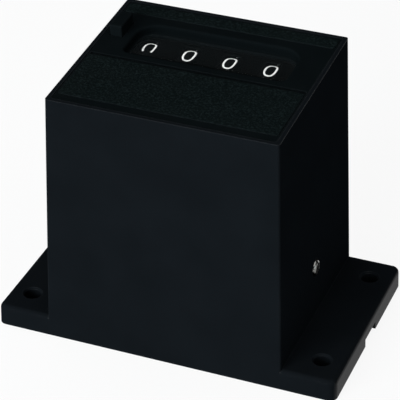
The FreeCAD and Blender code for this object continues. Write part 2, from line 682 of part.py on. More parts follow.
def frame_screws():
    screw = pan_screw(SCREW_R, SCREW_LENGTH, 1.5, 0.9)
    screws = []
    for y, z in SPACERS + FLOOR_SCREWS:
        screws.append(aim(screw, -1, LEFT_OUTER, y, z))
        screws.append(aim(screw, 1, RIGHT_OUTER, y, z))
    return Part.makeCompound(screws)


def chassis_floor():
    floor = block(LEFT_INNER, RIGHT_INNER, FRAME_FRONT + 0.5, 13.5, FRAME_BOTTOM, FLOOR_TOP)
    top = FLOOR_SCREWS[0][1] + 2.2
    for x0, x1 in ((LEFT_INNER, LEFT_INNER + FLOOR_THICKNESS), (RIGHT_INNER - FLOOR_THICKNESS, RIGHT_INNER)):
        floor = floor.fuse(block(x0, x1, FRAME_FRONT + 0.5, 13.5, FLOOR_TOP, top))
    for y, z in FLOOR_SCREWS:
        floor = drill_x(floor, SCREW_R, y, z)
    for y in TERMINAL_YS:
        floor = drill_x(floor, 2 * LEAD_R, y, lead_height())
    return floor.removeSplitter()


def wheel_shaft():
    shaft = rod_x(SHAFT_R, LEFT_OUTER - 0.7, RIGHT_OUTER + 0.7, WHEEL_AXIS_Y, WHEEL_AXIS_Z)
    for x0 in (LEFT_OUTER - 0.35, RIGHT_OUTER + 0.05):
        ring = rod_x(2 * SHAFT_R, x0, x0 + 0.3, WHEEL_AXIS_Y, WHEEL_AXIS_Z)
        shaft = shaft.cut(ring.cut(rod_x(SHAFT_R * 0.75, x0, x0 + 0.3, WHEEL_AXIS_Y, WHEEL_AXIS_Z)))
    return shaft


def shaft_clips():
    clips = []
    for x0 in (LEFT_OUTER - 0.34, RIGHT_OUTER + 0.06):
        x1 = x0 + 0.28
        clip = rod_x(SHAFT_R * 1.5, x0, x1, WHEEL_AXIS_Y, WHEEL_AXIS_Z)
        clip = clip.cut(rod_x(SHAFT_R * 0.75, x0, x1, WHEEL_AXIS_Y, WHEEL_AXIS_Z))
        mouth = block(x0, x1, WHEEL_AXIS_Y - SHAFT_R * 0.65, WHEEL_AXIS_Y + SHAFT_R * 0.65,
                      WHEEL_AXIS_Z - 3 * SHAFT_R, WHEEL_AXIS_Z)
        clips.append(clip.cut(mouth))
    return Part.makeCompound(clips)


def pinion_shaft():
    return rod_x(PINION_SHAFT_R, LEFT_OUTER - 0.4, RIGHT_OUTER + 0.4, PINION_Y, PINION_Z)


# ---- reset bail ------------------------------------------------------------
def reset_shaft():
    return rod_x(BAIL_SHAFT_R, LEVER_X0, RIGHT_OUTER + 0.6, BAIL_Y, BAIL_Z)


def reset_lever():
    tip_top = KEY_STEM_BOTTOM_Z - LEVER_GAP
    outline = [(BAIL_Y - 1.6, BAIL_Z - 1.0), (BAIL_Y + 1.0, BAIL_Z - 1.7), (LEVER_TIP_Y, tip_top - 2.2),
               (LEVER_TIP_Y, tip_top), (KEY_STEM_FRONT - 0.6, tip_top), (BAIL_Y - 1.4, BAIL_Z + 1.6)]
    lever = rounded(prism_x(outline, LEVER_X0, LEVER_X1), 0.4, X_AXIS)
    return lever.cut(rod_x(BAIL_SHAFT_R, LEVER_X0, LEVER_X1, BAIL_Y, BAIL_Z))


def hammer(x0, x1):
    tip_y = WHEEL_AXIS_Y - HAMMER_REST_R
    half = HAMMER_TIP_WIDTH / 2
    arm = [(BAIL_Y - 1.3, BAIL_Z + 0.6), (BAIL_Y + 1.5, BAIL_Z - 0.4), (tip_y, WHEEL_AXIS_Z - half),
           (tip_y, WHEEL_AXIS_Z + half), (tip_y - 1.2, WHEEL_AXIS_Z + half)]
    body = prism_x(arm, x0, x1).fuse(rod_x(BAIL_BOSS_R, x0, x1, BAIL_Y, BAIL_Z))
    return body.cut(rod_x(BAIL_SHAFT_R, x0, x1, BAIL_Y, BAIL_Z)).removeSplitter()


def reset_hammers():
    hammers = []
    for x in WHEEL_XS:
        x0 = x - DRUM_HALF - (HEART_WIDTH + HAMMER_THICKNESS) / 2
        hammers.append(hammer(x0, x0 + HAMMER_THICKNESS))
    return Part.makeCompound(hammers)


# ---- magnet ----------------------------------------------------------------
def hinge_rod(radius, x0, x1):
    return rod_x(radius, MAGNET_X + x0, MAGNET_X + x1, HINGE_Y, HINGE_Z)


def magnet_yoke():
    half = YOKE_WIDTH / 2
    inner = KNUCKLE_HALF + KNUCKLE_GAP
    x0 = MAGNET_X - half
    x1 = MAGNET_X + half
    yoke_inside = YOKE_FRONT + YOKE_THICKNESS
    yoke = block(x0, x1, YOKE_FRONT, YOKE_BACK, FLOOR_TOP, YOKE_FLOOR_TOP)
    yoke = yoke.fuse(block(x0, x1, YOKE_FRONT, yoke_inside, FLOOR_TOP, HINGE_Z))
    yoke = yoke.cut(block(MAGNET_X - inner, MAGNET_X + inner, YOKE_FRONT, yoke_inside,
                          HINGE_Z - KNUCKLE_R - KNUCKLE_GAP, HINGE_Z))
    for left, right in ((-half, -inner), (inner, half)):
        yoke = yoke.fuse(hinge_rod(KNUCKLE_R, left, right)).cut(hinge_rod(HINGE_PIN_R, left, right))
    yoke = yoke.fuse(block(MAGNET_X - TAIL_HALF, MAGNET_X + TAIL_HALF, ARMATURE_TAIL, YOKE_FRONT,
                           SPRING_LUG_Z - SPRING_LUG_THICKNESS, SPRING_LUG_Z))
    return yoke.cut(rod_z(CORE_R * 0.6, 0, 10, MAGNET_X, MAGNET_Y)).removeSplitter()


def armature_pin():
    reach = YOKE_WIDTH / 2 + 0.3
    return hinge_rod(HINGE_PIN_R, -reach, reach)


def magnet_core():
    core = rod_z(CORE_R, YOKE_FLOOR_TOP, CORE_TOP, MAGNET_X, MAGNET_Y)
    return core.fuse(rod_z(CORE_R * 0.6, FLOOR_TOP, YOKE_FLOOR_TOP, MAGNET_X, MAGNET_Y))


def bobbin_levels():
    return YOKE_FLOOR_TOP + 0.05, CORE_TOP - 0.8


def coil_bobbin():
    z0, z1 = bobbin_levels()
    tube = rod_z(CORE_R + BOBBIN_WALL, z0, z1, MAGNET_X, MAGNET_Y)
    for z in (z0, z1 - BOBBIN_FLANGE):
        tube = tube.fuse(rod_z(BOBBIN_R, z, z + BOBBIN_FLANGE, MAGNET_X, MAGNET_Y))
    return tube.cut(rod_z(CORE_R + 0.03, z0, z1, MAGNET_X, MAGNET_Y)).removeSplitter()


def coil_winding():
    z0, z1 = bobbin_levels()
    z0 += BOBBIN_FLANGE
    z1 -= BOBBIN_FLANGE
    winding = rod_z(WINDING_R, z0, z1, MAGNET_X, MAGNET_Y)
    return winding.cut(rod_z(CORE_R + BOBBIN_WALL, z0, z1, MAGNET_X, MAGNET_Y))


def armature():
    top = HINGE_Z + ARMATURE_THICKNESS
    x0 = MAGNET_X - ARMATURE_WIDTH / 2
    x1 = MAGNET_X + ARMATURE_WIDTH / 2
    plate = block(x0, x1, HINGE_Y + KNUCKLE_R + KNUCKLE_GAP, ARMATURE_BACK, HINGE_Z, top)
    neck = block(MAGNET_X - KNUCKLE_HALF, MAGNET_X + KNUCKLE_HALF, HINGE_Y, ARMATURE_BACK, HINGE_Z, top)
    knuckle = hinge_rod(KNUCKLE_R, -KNUCKLE_HALF, KNUCKLE_HALF)
    tail = block(MAGNET_X - TAIL_HALF, MAGNET_X + TAIL_HALF, ARMATURE_TAIL, HINGE_Y, HINGE_Z, top)
    lug_x0 = PAWL_X0 - 0.3 - SIDE_PLATE
    arm = block(x1, lug_x0 + SIDE_PLATE, DRIVE_PIN_Y - 1.6, DRIVE_PIN_Y + 1.6, HINGE_Z, top)
    lug = block(lug_x0, lug_x0 + SIDE_PLATE, DRIVE_PIN_Y - 1.6, DRIVE_PIN_Y + 1.6, top, DRIVE_PIN_Z + 0.9)
    body = plate.fuse(neck).fuse(knuckle).fuse(tail).fuse(arm).fuse(lug)
    body = drill_x(body, HINGE_PIN_R + RUNNING_CLEARANCE, HINGE_Y, HINGE_Z)
    return drill_x(body, PIN_R, DRIVE_PIN_Y, DRIVE_PIN_Z).removeSplitter()


def armature_spring():
    """Pulls the tail of the armature down, which lifts the armature off the core."""
    spring = coil_spring(1.1, 0.2, 7, SPRING_LUG_DROP - 0.06)
    spring.translate(V(MAGNET_X, ARMATURE_TAIL + 1.4, SPRING_LUG_Z + 0.03))
    return spring


def drive_pawl_pin():
    pin = rod_x(PIN_R, PAWL_X0 - 0.3 - SIDE_PLATE, PAWL_X1 + 0.1, DRIVE_PIN_Y, DRIVE_PIN_Z)
    return pin.fuse(rod_x(1.8 * PIN_R, PAWL_X1 + 0.1, PAWL_X1 + 0.4, DRIVE_PIN_Y, DRIVE_PIN_Z)).removeSplitter()


def drive_pawl():
    y = DRIVE_PIN_Y
    tip_y = WHEEL_AXIS_Y - PAWL_TIP_R
    tip_z = WHEEL_AXIS_Z + 0.3
    outline = [(y - 1.1, DRIVE_PIN_Z - 1.1), (y + 1.1, DRIVE_PIN_Z - 1.1), (y + 0.4, tip_z - 2.0),
               (y + 0.1, tip_z - 0.1), (tip_y, tip_z), (y, tip_z + 1.4), (y - 0.9, tip_z + 1.4)]
    return drill_x(prism_x(outline, PAWL_X0, PAWL_X1), PIN_R + RUNNING_CLEARANCE, y, DRIVE_PIN_Z)


def holding_pawl():
    """Stops the ratchet from turning back; its own pin turns in the right side plate."""
    tip_y, tip_z = polar(PAWL_TIP_R, math.radians(8))
    y, z = HOLD_PIN_Y, HOLD_PIN_Z
    outline = [(y - 1.1, z + 0.9), (y + 1.1, z + 0.9), (y + 1.0, z - 1.2), (tip_y + 0.9, tip_z - 0.5),
               (tip_y, tip_z), (y - 1.0, z - 1.2)]
    pawl = prism_x(outline, PAWL_X0, PAWL_X1)
    return pawl.fuse(rod_x(PIN_R, PAWL_X1, RIGHT_OUTER + 0.3, y, z)).removeSplitter()


# ---- base ------------------------------------------------------------------
def base_plate():
    x = BODY_WIDTH / 2 - WALL + BASE_LEDGE - BASE_GAP
    y = BODY_DEPTH / 2 - WALL + BASE_LEDGE - BASE_GAP
    plate = rounded(block(-x, x, -y, y, BASE_RECESS, BASE_TOP), 0.8, V(0, 0, 1))
    notch = block(RIGHT_OUTER + 0.5, x + 1, NOTCH_Y - NOTCH_WIDTH / 2, NOTCH_Y + NOTCH_WIDTH / 2, -1, BASE_TOP + 1)
    plate = plate.cut(notch)
    for bx, by in base_boss_places():
        plate = plate.cut(rod_z(BASE_SCREW_R, -1, BASE_TOP + 1, bx, by))
        head_r = BASE_SCREW_HEAD_R + RUNNING_CLEARANCE
        plate = plate.cut(Part.makeCone(head_r, BASE_SCREW_R, head_r - BASE_SCREW_R, V(bx, by, BASE_RECESS)))
    return plate


def base_screws():
    screw = sink_screw(BASE_SCREW_R, BASE_SCREW_LENGTH, BASE_SCREW_HEAD_R)
    screw.rotate(V(0, 0, 0), X_AXIS, 180)
    screws = []
    for x, y in base_boss_places():
        placed = screw.copy()
        placed.translate(V(x, y, BASE_RECESS))
        screws.append(placed)
    return Part.makeCompound(screws)


def side_screws():
    seat = side_screw_seat()
    length = seat - RIGHT_INNER + 0.6
    screws = []
    for side in (-1, 1):
        screw = pan_screw(SIDE_SCREW_R, length, SIDE_SCREW_HEAD_R, 1.0)
        screws.append(aim(screw, side, side * seat, SIDE_SCREW_Y, SIDE_SCREW_Z))
    return Part.makeCompound(screws)


def terminal_span():
    return RIGHT_OUTER + 0.6, BODY_WIDTH / 2 - WALL - 0.6


def lead_height():
    return BASE_TOP + TERMINAL_HEIGHT + 1.6


def terminal_block():
    x0, x1 = terminal_span()
    y0 = TERMINAL_YS[0] - 4
    y1 = TERMINAL_YS[1] + 4
    body = block(x0, x1, y0, y1, BASE_TOP, BASE_TOP + TERMINAL_HEIGHT)
    middle = sum(TERMINAL_YS) / 2
    body = body.fuse(block(x0, x1, middle - 0.5, middle + 0.5, BASE_TOP, BASE_TOP + TERMINAL_HEIGHT + 1.2))
    for y in TERMINAL_YS:
        body = body.cut(rod_z(SCREW_R, BASE_TOP + 1, 20, sum(terminal_span()) / 2, y))
    return body.removeSplitter()


def terminal_screws():
    screws = []
    for y in TERMINAL_YS:
        screw = pan_screw(SCREW_R, SCREW_LENGTH, TERMINAL_SCREW_HEAD_R, 1.0)
        screw.translate(V(sum(terminal_span()) / 2, y, BASE_TOP + TERMINAL_HEIGHT + 2 * LEAD_R))
        screws.append(screw)
    return Part.makeCompound(screws)


def coil_leads():
    """Each lead leaves the lower cheek of the bobbin and ends under its terminal screw."""
    leads = []
    end_x = sum(terminal_span()) / 2 - TERMINAL_SCREW_HEAD_R - LEAD_R - 0.05
    start_x = MAGNET_X + WINDING_R * 0.99
    high = lead_height()
    low = BASE_TOP + TERMINAL_HEIGHT + LEAD_R
    bend = high - low
    for y in TERMINAL_YS:
        first = Part.LineSegment(V(start_x, y, high), V(end_x - bend, y, high)).toShape()
        turn = bend * math.sin(math.pi / 4)
        arc = Part.Arc(V(end_x - bend, y, high), V(end_x - bend + turn, y, high - bend + turn),
                       V(end_x, y, low)).toShape()
        wire = Part.Wire([first, arc])
        section = Part.Wire([Part.makeCircle(LEAD_R, V(start_x, y, high), X_AXIS)])
        leads.append(wire.makePipeShell([section], True, False))
    return Part.makeCompound(leads)


def all_nodes():
    nodes = {
        "housing": housing, "face_plate": face_plate, "window_pane": window_pane,
        "window_mask": window_mask, "reset_key": reset_key, "reset_key_spring": reset_key_spring,
        "left_side_plate": left_side_plate, "right_side_plate": right_side_plate,
        "frame_spacers": frame_spacers, "frame_screws": frame_screws, "chassis_floor": chassis_floor,
        "wheel_shaft": wheel_shaft, "shaft_clips": shaft_clips, "ratchet_wheel": ratchet_wheel,
        "pinion_shaft": pinion_shaft, "reset_shaft": reset_shaft, "reset_lever": reset_lever,
        "reset_hammers": reset_hammers, "magnet_yoke": magnet_yoke, "magnet_core": magnet_core,
        "coil_bobbin": coil_bobbin, "coil_winding": coil_winding, "armature": armature,
        "armature_pin": armature_pin, "armature_spring": armature_spring, "drive_pawl_pin": drive_pawl_pin, "drive_pawl": drive_pawl,
        "holding_pawl": holding_pawl, "base_plate": base_plate, "base_screws": base_screws,
        "side_screws": side_screws, "terminal_block": terminal_block, "terminal_screws": terminal_screws,
        "coil_leads": coil_leads,
    }
    for index, name in enumerate(WHEEL_NAMES):
        nodes["number_wheel_" + name] = lambda i=index: number_wheel(i)
    for index, name in enumerate(WHEEL_NAMES[:-1]):
        nodes["transfer_pinion_" + name] = lambda i=index: transfer_pinion(i)
    return nodes


os.makedirs("parts", exist_ok=True)
for node, make in all_nodes().items():
    solid = make()
    if not solid.isValid() or not solid.Solids:
        raise ValueError(node + " is not a sound solid")
    solid.exportStep(os.path.join("parts", node + ".step"))
    print(node, len(solid.Solids), round(solid.Volume, 2))
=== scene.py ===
# %% [markdown]
# # A base-mounted four-figure counter
# The case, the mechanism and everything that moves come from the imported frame. Here they get their
# finishes, their printed figures, their grained bands, the turns of the coil and a small studio.
# Units are metres, in the frame's own axes: +Z up, the front wall faces -Y, and the origin is the
# middle of the footprint.

# %% Load the frame
import json
import math

import bmesh
import bpy
from mathutils import Matrix, Vector


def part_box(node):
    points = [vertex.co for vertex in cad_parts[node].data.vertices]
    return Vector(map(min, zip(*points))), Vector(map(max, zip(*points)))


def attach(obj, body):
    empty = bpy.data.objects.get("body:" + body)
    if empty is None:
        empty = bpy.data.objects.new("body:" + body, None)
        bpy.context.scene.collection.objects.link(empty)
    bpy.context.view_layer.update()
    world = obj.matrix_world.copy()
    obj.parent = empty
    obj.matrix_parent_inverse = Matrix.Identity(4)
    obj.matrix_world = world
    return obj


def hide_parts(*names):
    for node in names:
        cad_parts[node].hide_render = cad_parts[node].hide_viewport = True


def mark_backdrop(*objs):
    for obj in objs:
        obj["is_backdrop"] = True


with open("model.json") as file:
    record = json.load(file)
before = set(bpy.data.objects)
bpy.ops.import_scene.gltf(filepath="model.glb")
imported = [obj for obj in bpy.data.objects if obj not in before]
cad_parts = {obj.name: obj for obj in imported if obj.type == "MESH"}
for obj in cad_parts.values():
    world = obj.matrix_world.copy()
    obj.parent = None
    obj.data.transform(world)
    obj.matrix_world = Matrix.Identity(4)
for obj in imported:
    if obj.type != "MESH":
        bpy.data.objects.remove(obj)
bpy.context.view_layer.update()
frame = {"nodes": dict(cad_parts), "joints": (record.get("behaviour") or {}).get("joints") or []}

MM = 0.001
nodes = frame["nodes"]
print("pieces in the frame:", len(nodes))

# %% [markdown]
# ## Where things are
# The wheels' axis comes from their joint, and the slope of the face plate from the way the reset key
# slides. Each drum's radius and middle are read from its own node further on. The camera's place, the
# size of the figures and the tones are given, since no other part settles them.

# %% Places taken from the frame
joints = {joint["name"]: joint for joint in frame["joints"]}
key_axis = Vector(joints["reset_key_push"]["axis"])
top_slope = math.atan2(key_axis.y, -key_axis.z)
wheel_axis = Vector(joints["wheel_units_turn"]["pos_m"])
WHEEL_ORDERS = ("thousands", "hundreds", "tens", "units")

case_low, case_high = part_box("housing")
print("slope of the face plate:", round(math.degrees(top_slope), 2), "degrees")

# %% [markdown]
# ## The camera
# A long lens from the front right and above, so that the upright edges stay nearly parallel. The
# camera is turned a touch about its own axis, as a hand-levelled tripod would leave it.

# %% Camera
VIEW_AZIMUTH = math.radians(22.145)
VIEW_ELEVATION = math.radians(32.92)
VIEW_ROLL = math.radians(-0.64)
VIEW_DISTANCE = 404.26 * MM
VIEW_AIM = Vector((-0.2, 0.0, 25.11)) * MM
LENS_MM = 182.2

def add_camera():
    back = Vector((
        math.sin(VIEW_AZIMUTH) * math.cos(VIEW_ELEVATION),
        -math.cos(VIEW_AZIMUTH) * math.cos(VIEW_ELEVATION),
        math.sin(VIEW_ELEVATION)))
    right = Vector((0, 0, 1)).cross(back).normalized()
    up = back.cross(right)
    turned = Matrix((right, up, back)).transposed() @ Matrix.Rotation(VIEW_ROLL, 3, "Z")
    data = bpy.data.cameras.new("camera")
    data.lens = LENS_MM
    data.sensor_width = 36
    data.clip_start = 0.01
    camera = bpy.data.objects.new("camera", data)
    camera.matrix_world = Matrix.Translation(VIEW_AIM + back * VIEW_DISTANCE) @ turned.to_4x4()
    bpy.context.scene.collection.objects.link(camera)
    bpy.context.scene.camera = camera
    return camera

camera = add_camera()
print("camera at", [round(value, 4) for value in camera.location])

# %% [markdown]
# ## Helpers for node trees
# Shader trees and geometry trees are both nodes and links. A few small helpers keep each tree down to
# the lines that say something: make a group, add a node with its settings, feed a socket, and one
# line each for a sum, a vector sum, a range, a colour mix and a group in use.

# %% Node helpers
def new_group(name, kind, inputs, outputs):
    """A node group with named sockets; each input is (name, socket type, default)."""
    group = bpy.data.node_groups.new(name, kind)
    for socket_name, socket_type, default in inputs:
        socket = group.interface.new_socket(socket_name, in_out="INPUT", socket_type=socket_type)
        if default is not None:
            socket.default_value = default
    for socket_name, socket_type in outputs:
        group.interface.new_socket(socket_name, in_out="OUTPUT", socket_type=socket_type)
    entry = group.nodes.new("NodeGroupInput")
    leave = group.nodes.new("NodeGroupOutput")
    return group, entry.outputs, leave.inputs

def add(tree, kind, settings=None, **inputs):
    """Adds a node; settings are its properties, inputs are values or sockets by name."""
    node = tree.nodes.new(kind)
    for key, value in (settings or {}).items():
        setattr(node, key, value)
    for key, value in inputs.items():
        feed(tree, node.inputs[key.replace("_", " ")], value)
    return node

def feed(tree, socket, value):
    if isinstance(value, bpy.types.NodeSocket):
        tree.links.new(value, socket)
    else:
        socket.default_value = value

def maths(tree, operation, *values, clamp=False):
    node = tree.nodes.new("ShaderNodeMath")
    node.operation = operation
    node.use_clamp = clamp
    for socket, value in zip(node.inputs, values):
        feed(tree, socket, value)
    return node.outputs[0]

def vector_maths(tree, operation, *values):
    node = tree.nodes.new("ShaderNodeVectorMath")
    node.operation = operation
    for socket, value in zip(node.inputs, values):
        feed(tree, socket, value)
    return node.outputs["Value"] if operation in ("LENGTH", "DOT_PRODUCT") else node.outputs["Vector"]

def ramp(tree, value, low, high, start=0.0, end=1.0):
    """Carries a value from low..high onto start..end, and holds it there past the ends."""
    node = add(tree, "ShaderNodeMapRange", {"clamp": True}, Value=value)
    node.inputs["From Min"].default_value = low
    node.inputs["From Max"].default_value = high
    node.inputs["To Min"].default_value = start
    node.inputs["To Max"].default_value = end
    return node.outputs["Result"]

def blend_colour(tree, share, first, second):
    node = tree.nodes.new("ShaderNodeMix")
    node.data_type = "RGBA"
    feed(tree, node.inputs[0], share)
    feed(tree, node.inputs[6], first)
    feed(tree, node.inputs[7], second)
    return node.outputs[2]

def use_group(tree, group, **inputs):
    node = tree.nodes.new("ShaderNodeGroup" if tree.type == "SHADER" else "GeometryNodeGroup")
    node.node_tree = group
    for key, value in inputs.items():
        feed(tree, node.inputs[key.replace("_", " ")], value)
    return node

print("helpers ready")

# %% [markdown]
# ## Shared surface effects
# Four effects are shared by the finishes, and each is one group. A fine spark-eroded grain is what a
# steel mould leaves on plastic. Edges that are handled go smooth and a shade paler; on the black
# mouldings that paler shade is also a painted highlight along the edges. Fine scratches
# and finger smears change the gloss but not the colour. Dust settles on whatever faces up.

# %% Edge wear and painted edge highlight
def make_edge_wear_and_highlight():
    group, given, result = new_group(
        "edge wear", "ShaderNodeTree",
        [("Reach", "NodeSocketFloat", 0.0004), ("Break Up", "NodeSocketFloat", 900.0)],
        [("Mask", "NodeSocketFloat")])
    bevel = add(group, "ShaderNodeBevel", {"samples": 4}, Radius=given["Reach"])
    flat = add(group, "ShaderNodeNewGeometry")
    facing = vector_maths(group, "DOT_PRODUCT", bevel.outputs["Normal"], flat.outputs["True Normal"])
    edge = ramp(group, facing, 0.99, 0.80)
    where = add(group, "ShaderNodeTexCoord").outputs["Object"]
    noise = add(group, "ShaderNodeTexNoise", Vector=where, Scale=given["Break Up"], Detail=3.0)
    patchy = ramp(group, noise.outputs[0], 0.3, 0.6, 0.35, 1.0)
    feed(group, result["Mask"], maths(group, "MULTIPLY", edge, patchy))
    return group

edge_wear_and_highlight = make_edge_wear_and_highlight()
print("group:", edge_wear_and_highlight.name)

# %% Mould grain
def make_mould_grain():
    group, given, result = new_group(
        "mould grain", "ShaderNodeTree",
        [("Scale", "NodeSocketFloat", 5200.0), ("Depth", "NodeSocketFloat", 1.0)],
        [("Height", "NodeSocketFloat"), ("Tone", "NodeSocketFloat")])
    where = add(group, "ShaderNodeTexCoord").outputs["Object"]
    fine = add(group, "ShaderNodeTexNoise", Vector=where, Scale=given["Scale"], Detail=4.0, Roughness=0.6)
    broad = add(group, "ShaderNodeTexNoise", Vector=where, Scale=120.0, Detail=2.0)
    feed(group, result["Height"], maths(group, "MULTIPLY", fine.outputs[0], given["Depth"]))
    feed(group, result["Tone"], ramp(group, broad.outputs[0], 0.3, 0.7))
    return group

mould_grain = make_mould_grain()
print("group:", mould_grain.name)

# %% Scratches and smears
def make_handling():
    group, given, result = new_group(
        "handling", "ShaderNodeTree",
        [("Scratch Scale", "NodeSocketFloat", 260.0), ("Smear Scale", "NodeSocketFloat", 45.0)],
        [("Scratches", "NodeSocketFloat"), ("Smears", "NodeSocketFloat")])
    where = add(group, "ShaderNodeTexCoord").outputs["Object"]
    bent = add(group, "ShaderNodeTexNoise", Vector=where, Scale=30.0, Detail=1.0)
    shifted = add(group, "ShaderNodeVectorMath", {"operation": "MULTIPLY_ADD"})
    feed(group, shifted.inputs[0], bent.outputs["Color"])
    shifted.inputs[1].default_value = (0.01, 0.01, 0.01)
    feed(group, shifted.inputs[2], where)
    turned = add(group, "ShaderNodeMapping", Vector=shifted.outputs["Vector"])
    turned.inputs["Rotation"].default_value = (0.5, 0.9, 0.35)
    turned.inputs["Scale"].default_value = (1.0, 14.0, 14.0)
    streaks = turned.outputs["Vector"]
    lines = add(group, "ShaderNodeTexNoise", Vector=streaks, Scale=given["Scratch Scale"], Detail=1.0)
    thin = ramp(group, lines.outputs[0], 0.69, 0.73)
    smear = add(group, "ShaderNodeTexNoise", Vector=where, Scale=given["Smear Scale"], Detail=5.0,
                Roughness=0.55)
    feed(group, result["Scratches"], thin)
    feed(group, result["Smears"], ramp(group, smear.outputs[0], 0.35, 0.7))
    return group

handling = make_handling()
print("group:", handling.name)

# %% Dust
DUST_FILM = 0.12

def make_dust():
    group, given, result = new_group(
        "dust", "ShaderNodeTree",
        [("Amount", "NodeSocketFloat", 0.3), ("Speck Scale", "NodeSocketFloat", 1500.0)],
        [("Mask", "NodeSocketFloat")])
    normal = add(group, "ShaderNodeNewGeometry").outputs["True Normal"]
    rise = add(group, "ShaderNodeSeparateXYZ", Vector=normal).outputs["Z"]
    where = add(group, "ShaderNodeTexCoord").outputs["Object"]
    specks = add(group, "ShaderNodeTexVoronoi", Vector=where, Scale=given["Speck Scale"])
    dots = ramp(group, specks.outputs["Distance"], 0.16, 0.08)
    drift = add(group, "ShaderNodeTexNoise", Vector=where, Scale=70.0, Detail=4.0)
    patches = ramp(group, drift.outputs[0], 0.5, 0.75)
    dotted = maths(group, "MULTIPLY", dots, patches)
    both = maths(group, "MAXIMUM", dotted, maths(group, "MULTIPLY", patches, DUST_FILM))
    up = ramp(group, rise, 0.3, 0.95)
    feed(group, result["Mask"], maths(group, "MULTIPLY", maths(group, "MULTIPLY", both, up), given["Amount"]))
    return group

dust = make_dust()
print("group:", dust.name)

# %% [markdown]
# ## Two recipes for finishes
# Nearly everything here is either moulded plastic or metal. A recipe takes a tone and a few numbers
# and wires the shared effects into a Principled shader. Plastics get the mould grain and dust, and
# metals get fine lines stretched along one axis.

# %% Plastic recipe
DUST_TONE = (0.32, 0.31, 0.29, 1)
GRAIN_RELIEF = 0.04 * MM
FINE_RELIEF = 0.02 * MM

def shader_of(material):
    tree = material.node_tree
    return tree, tree.nodes["Principled BSDF"]

def plastic(name, tone, roughness=0.4, specular=0.3, grain_scale=5200.0, grain_depth=0.25, worn_and_highlighted_tone=None,
            dust_amount=0.25, wear_reach=0.4 * MM, wear_amount=0.5, speckle=0.0):
    """Moulded plastic; speckle is how much paler its fine scattered spots are."""
    material = bpy.data.materials.new(name)
    material.use_nodes = True
    tree, shader = shader_of(material)
    grain = use_group(tree, mould_grain, Scale=grain_scale, Depth=grain_depth)
    touched = use_group(tree, handling)
    wear_and_highlight = use_group(tree, edge_wear_and_highlight, Reach=wear_reach)
    settled = use_group(tree, dust, Amount=dust_amount)
    dark = (*[channel * 0.85 for channel in tone], 1)
    base = blend_colour(tree, grain.outputs["Tone"], dark, (*tone, 1))
    if speckle:
        where = add(tree, "ShaderNodeTexCoord").outputs["Object"]
        pits = add(tree, "ShaderNodeTexNoise", Vector=where, Scale=2600.0, Detail=2.0)
        pale = (*[channel * (1 + speckle) for channel in tone], 1)
        base = blend_colour(tree, ramp(tree, pits.outputs[0], 0.50, 0.62), base, pale)
    # Edges blend toward a paler tone: real wear, and on the black mouldings also a painted highlight along
    # the edges.
    worn_and_highlighted = (*(worn_and_highlighted_tone or [channel * 2.2 + 0.004 for channel in tone]), 1)
    rubbed_and_highlighted = maths(tree, "MULTIPLY", wear_and_highlight.outputs["Mask"], wear_amount)
    base = blend_colour(tree, rubbed_and_highlighted, base, worn_and_highlighted)
    base = blend_colour(tree, settled.outputs["Mask"], base, DUST_TONE)
    feed(tree, shader.inputs["Base Color"], base)
    rough = maths(tree, "ADD", roughness, maths(tree, "MULTIPLY", touched.outputs["Smears"], -0.08))
    rough = maths(tree, "ADD", rough, maths(tree, "MULTIPLY", touched.outputs["Scratches"], 0.12))
    rough = maths(tree, "SUBTRACT", rough, maths(tree, "MULTIPLY", rubbed_and_highlighted, 0.15), clamp=True)
    feed(tree, shader.inputs["Roughness"], rough)
    relief = add(tree, "ShaderNodeBump", Strength=0.5, Distance=GRAIN_RELIEF, Height=grain.outputs["Height"])
    feed(tree, shader.inputs["Normal"], relief.outputs["Normal"])
    shader.inputs["Specular IOR Level"].default_value = specular
    return material

print("plastic recipe ready")

# %% Metal recipe
def metal(name, tone, roughness=0.3, line_scale=(1.0, 60.0, 1.0), line_depth=0.25, spread=0.12, tint=None):
    """Brushed, rolled or drawn metal; the lines run along the axis with the smallest scale."""
    material = bpy.data.materials.new(name)
    material.use_nodes = True
    tree, shader = shader_of(material)
    where = add(tree, "ShaderNodeTexCoord").outputs["Object"]
    stretched = add(tree, "ShaderNodeMapping", Vector=where)
    stretched.inputs["Scale"].default_value = line_scale
    lines = add(tree, "ShaderNodeTexNoise", Vector=stretched.outputs["Vector"], Scale=180.0, Detail=5.0)
    cloud = add(tree, "ShaderNodeTexNoise", Vector=where, Scale=90.0, Detail=3.0)
    touched = use_group(tree, handling)
    wear_and_highlight = use_group(tree, edge_wear_and_highlight, Reach=0.15 * MM)
    other = (*(tint or [channel * 0.8 for channel in tone]), 1)
    base = blend_colour(tree, ramp(tree, cloud.outputs[0], 0.3, 0.7), other, (*tone, 1))
    bright = (*[min(1.0, channel * 1.15) for channel in tone], 1)
    base = blend_colour(tree, wear_and_highlight.outputs["Mask"], base, bright)
    feed(tree, shader.inputs["Base Color"], base)
    brushed = maths(tree, "MULTIPLY", ramp(tree, lines.outputs[0], 0.3, 0.7), spread)
    rough = maths(tree, "ADD", roughness, brushed)
    rough = maths(tree, "ADD", rough, maths(tree, "MULTIPLY", touched.outputs["Smears"], 0.08), clamp=True)
    feed(tree, shader.inputs["Roughness"], rough)
    relief = add(tree, "ShaderNodeBump", Strength=line_depth, Distance=FINE_RELIEF, Height=lines.outputs[0])
    feed(tree, shader.inputs["Normal"], relief.outputs["Normal"])
    shader.inputs["Metallic"].default_value = 1.0
    return material

print("metal recipe ready")

# %% [markdown]
# ## The finishes
# The housing is one black moulding. The ears' outer sides are rubbed to a polish, and that is given
# by a clear coat that fades in over the last half millimetre. The same coat lies along every worn
# edge of the housing and draws the fine bright lines there.

# %% Housing finish
OUTER_COAT = 0.26
EDGE_COAT = 0.30

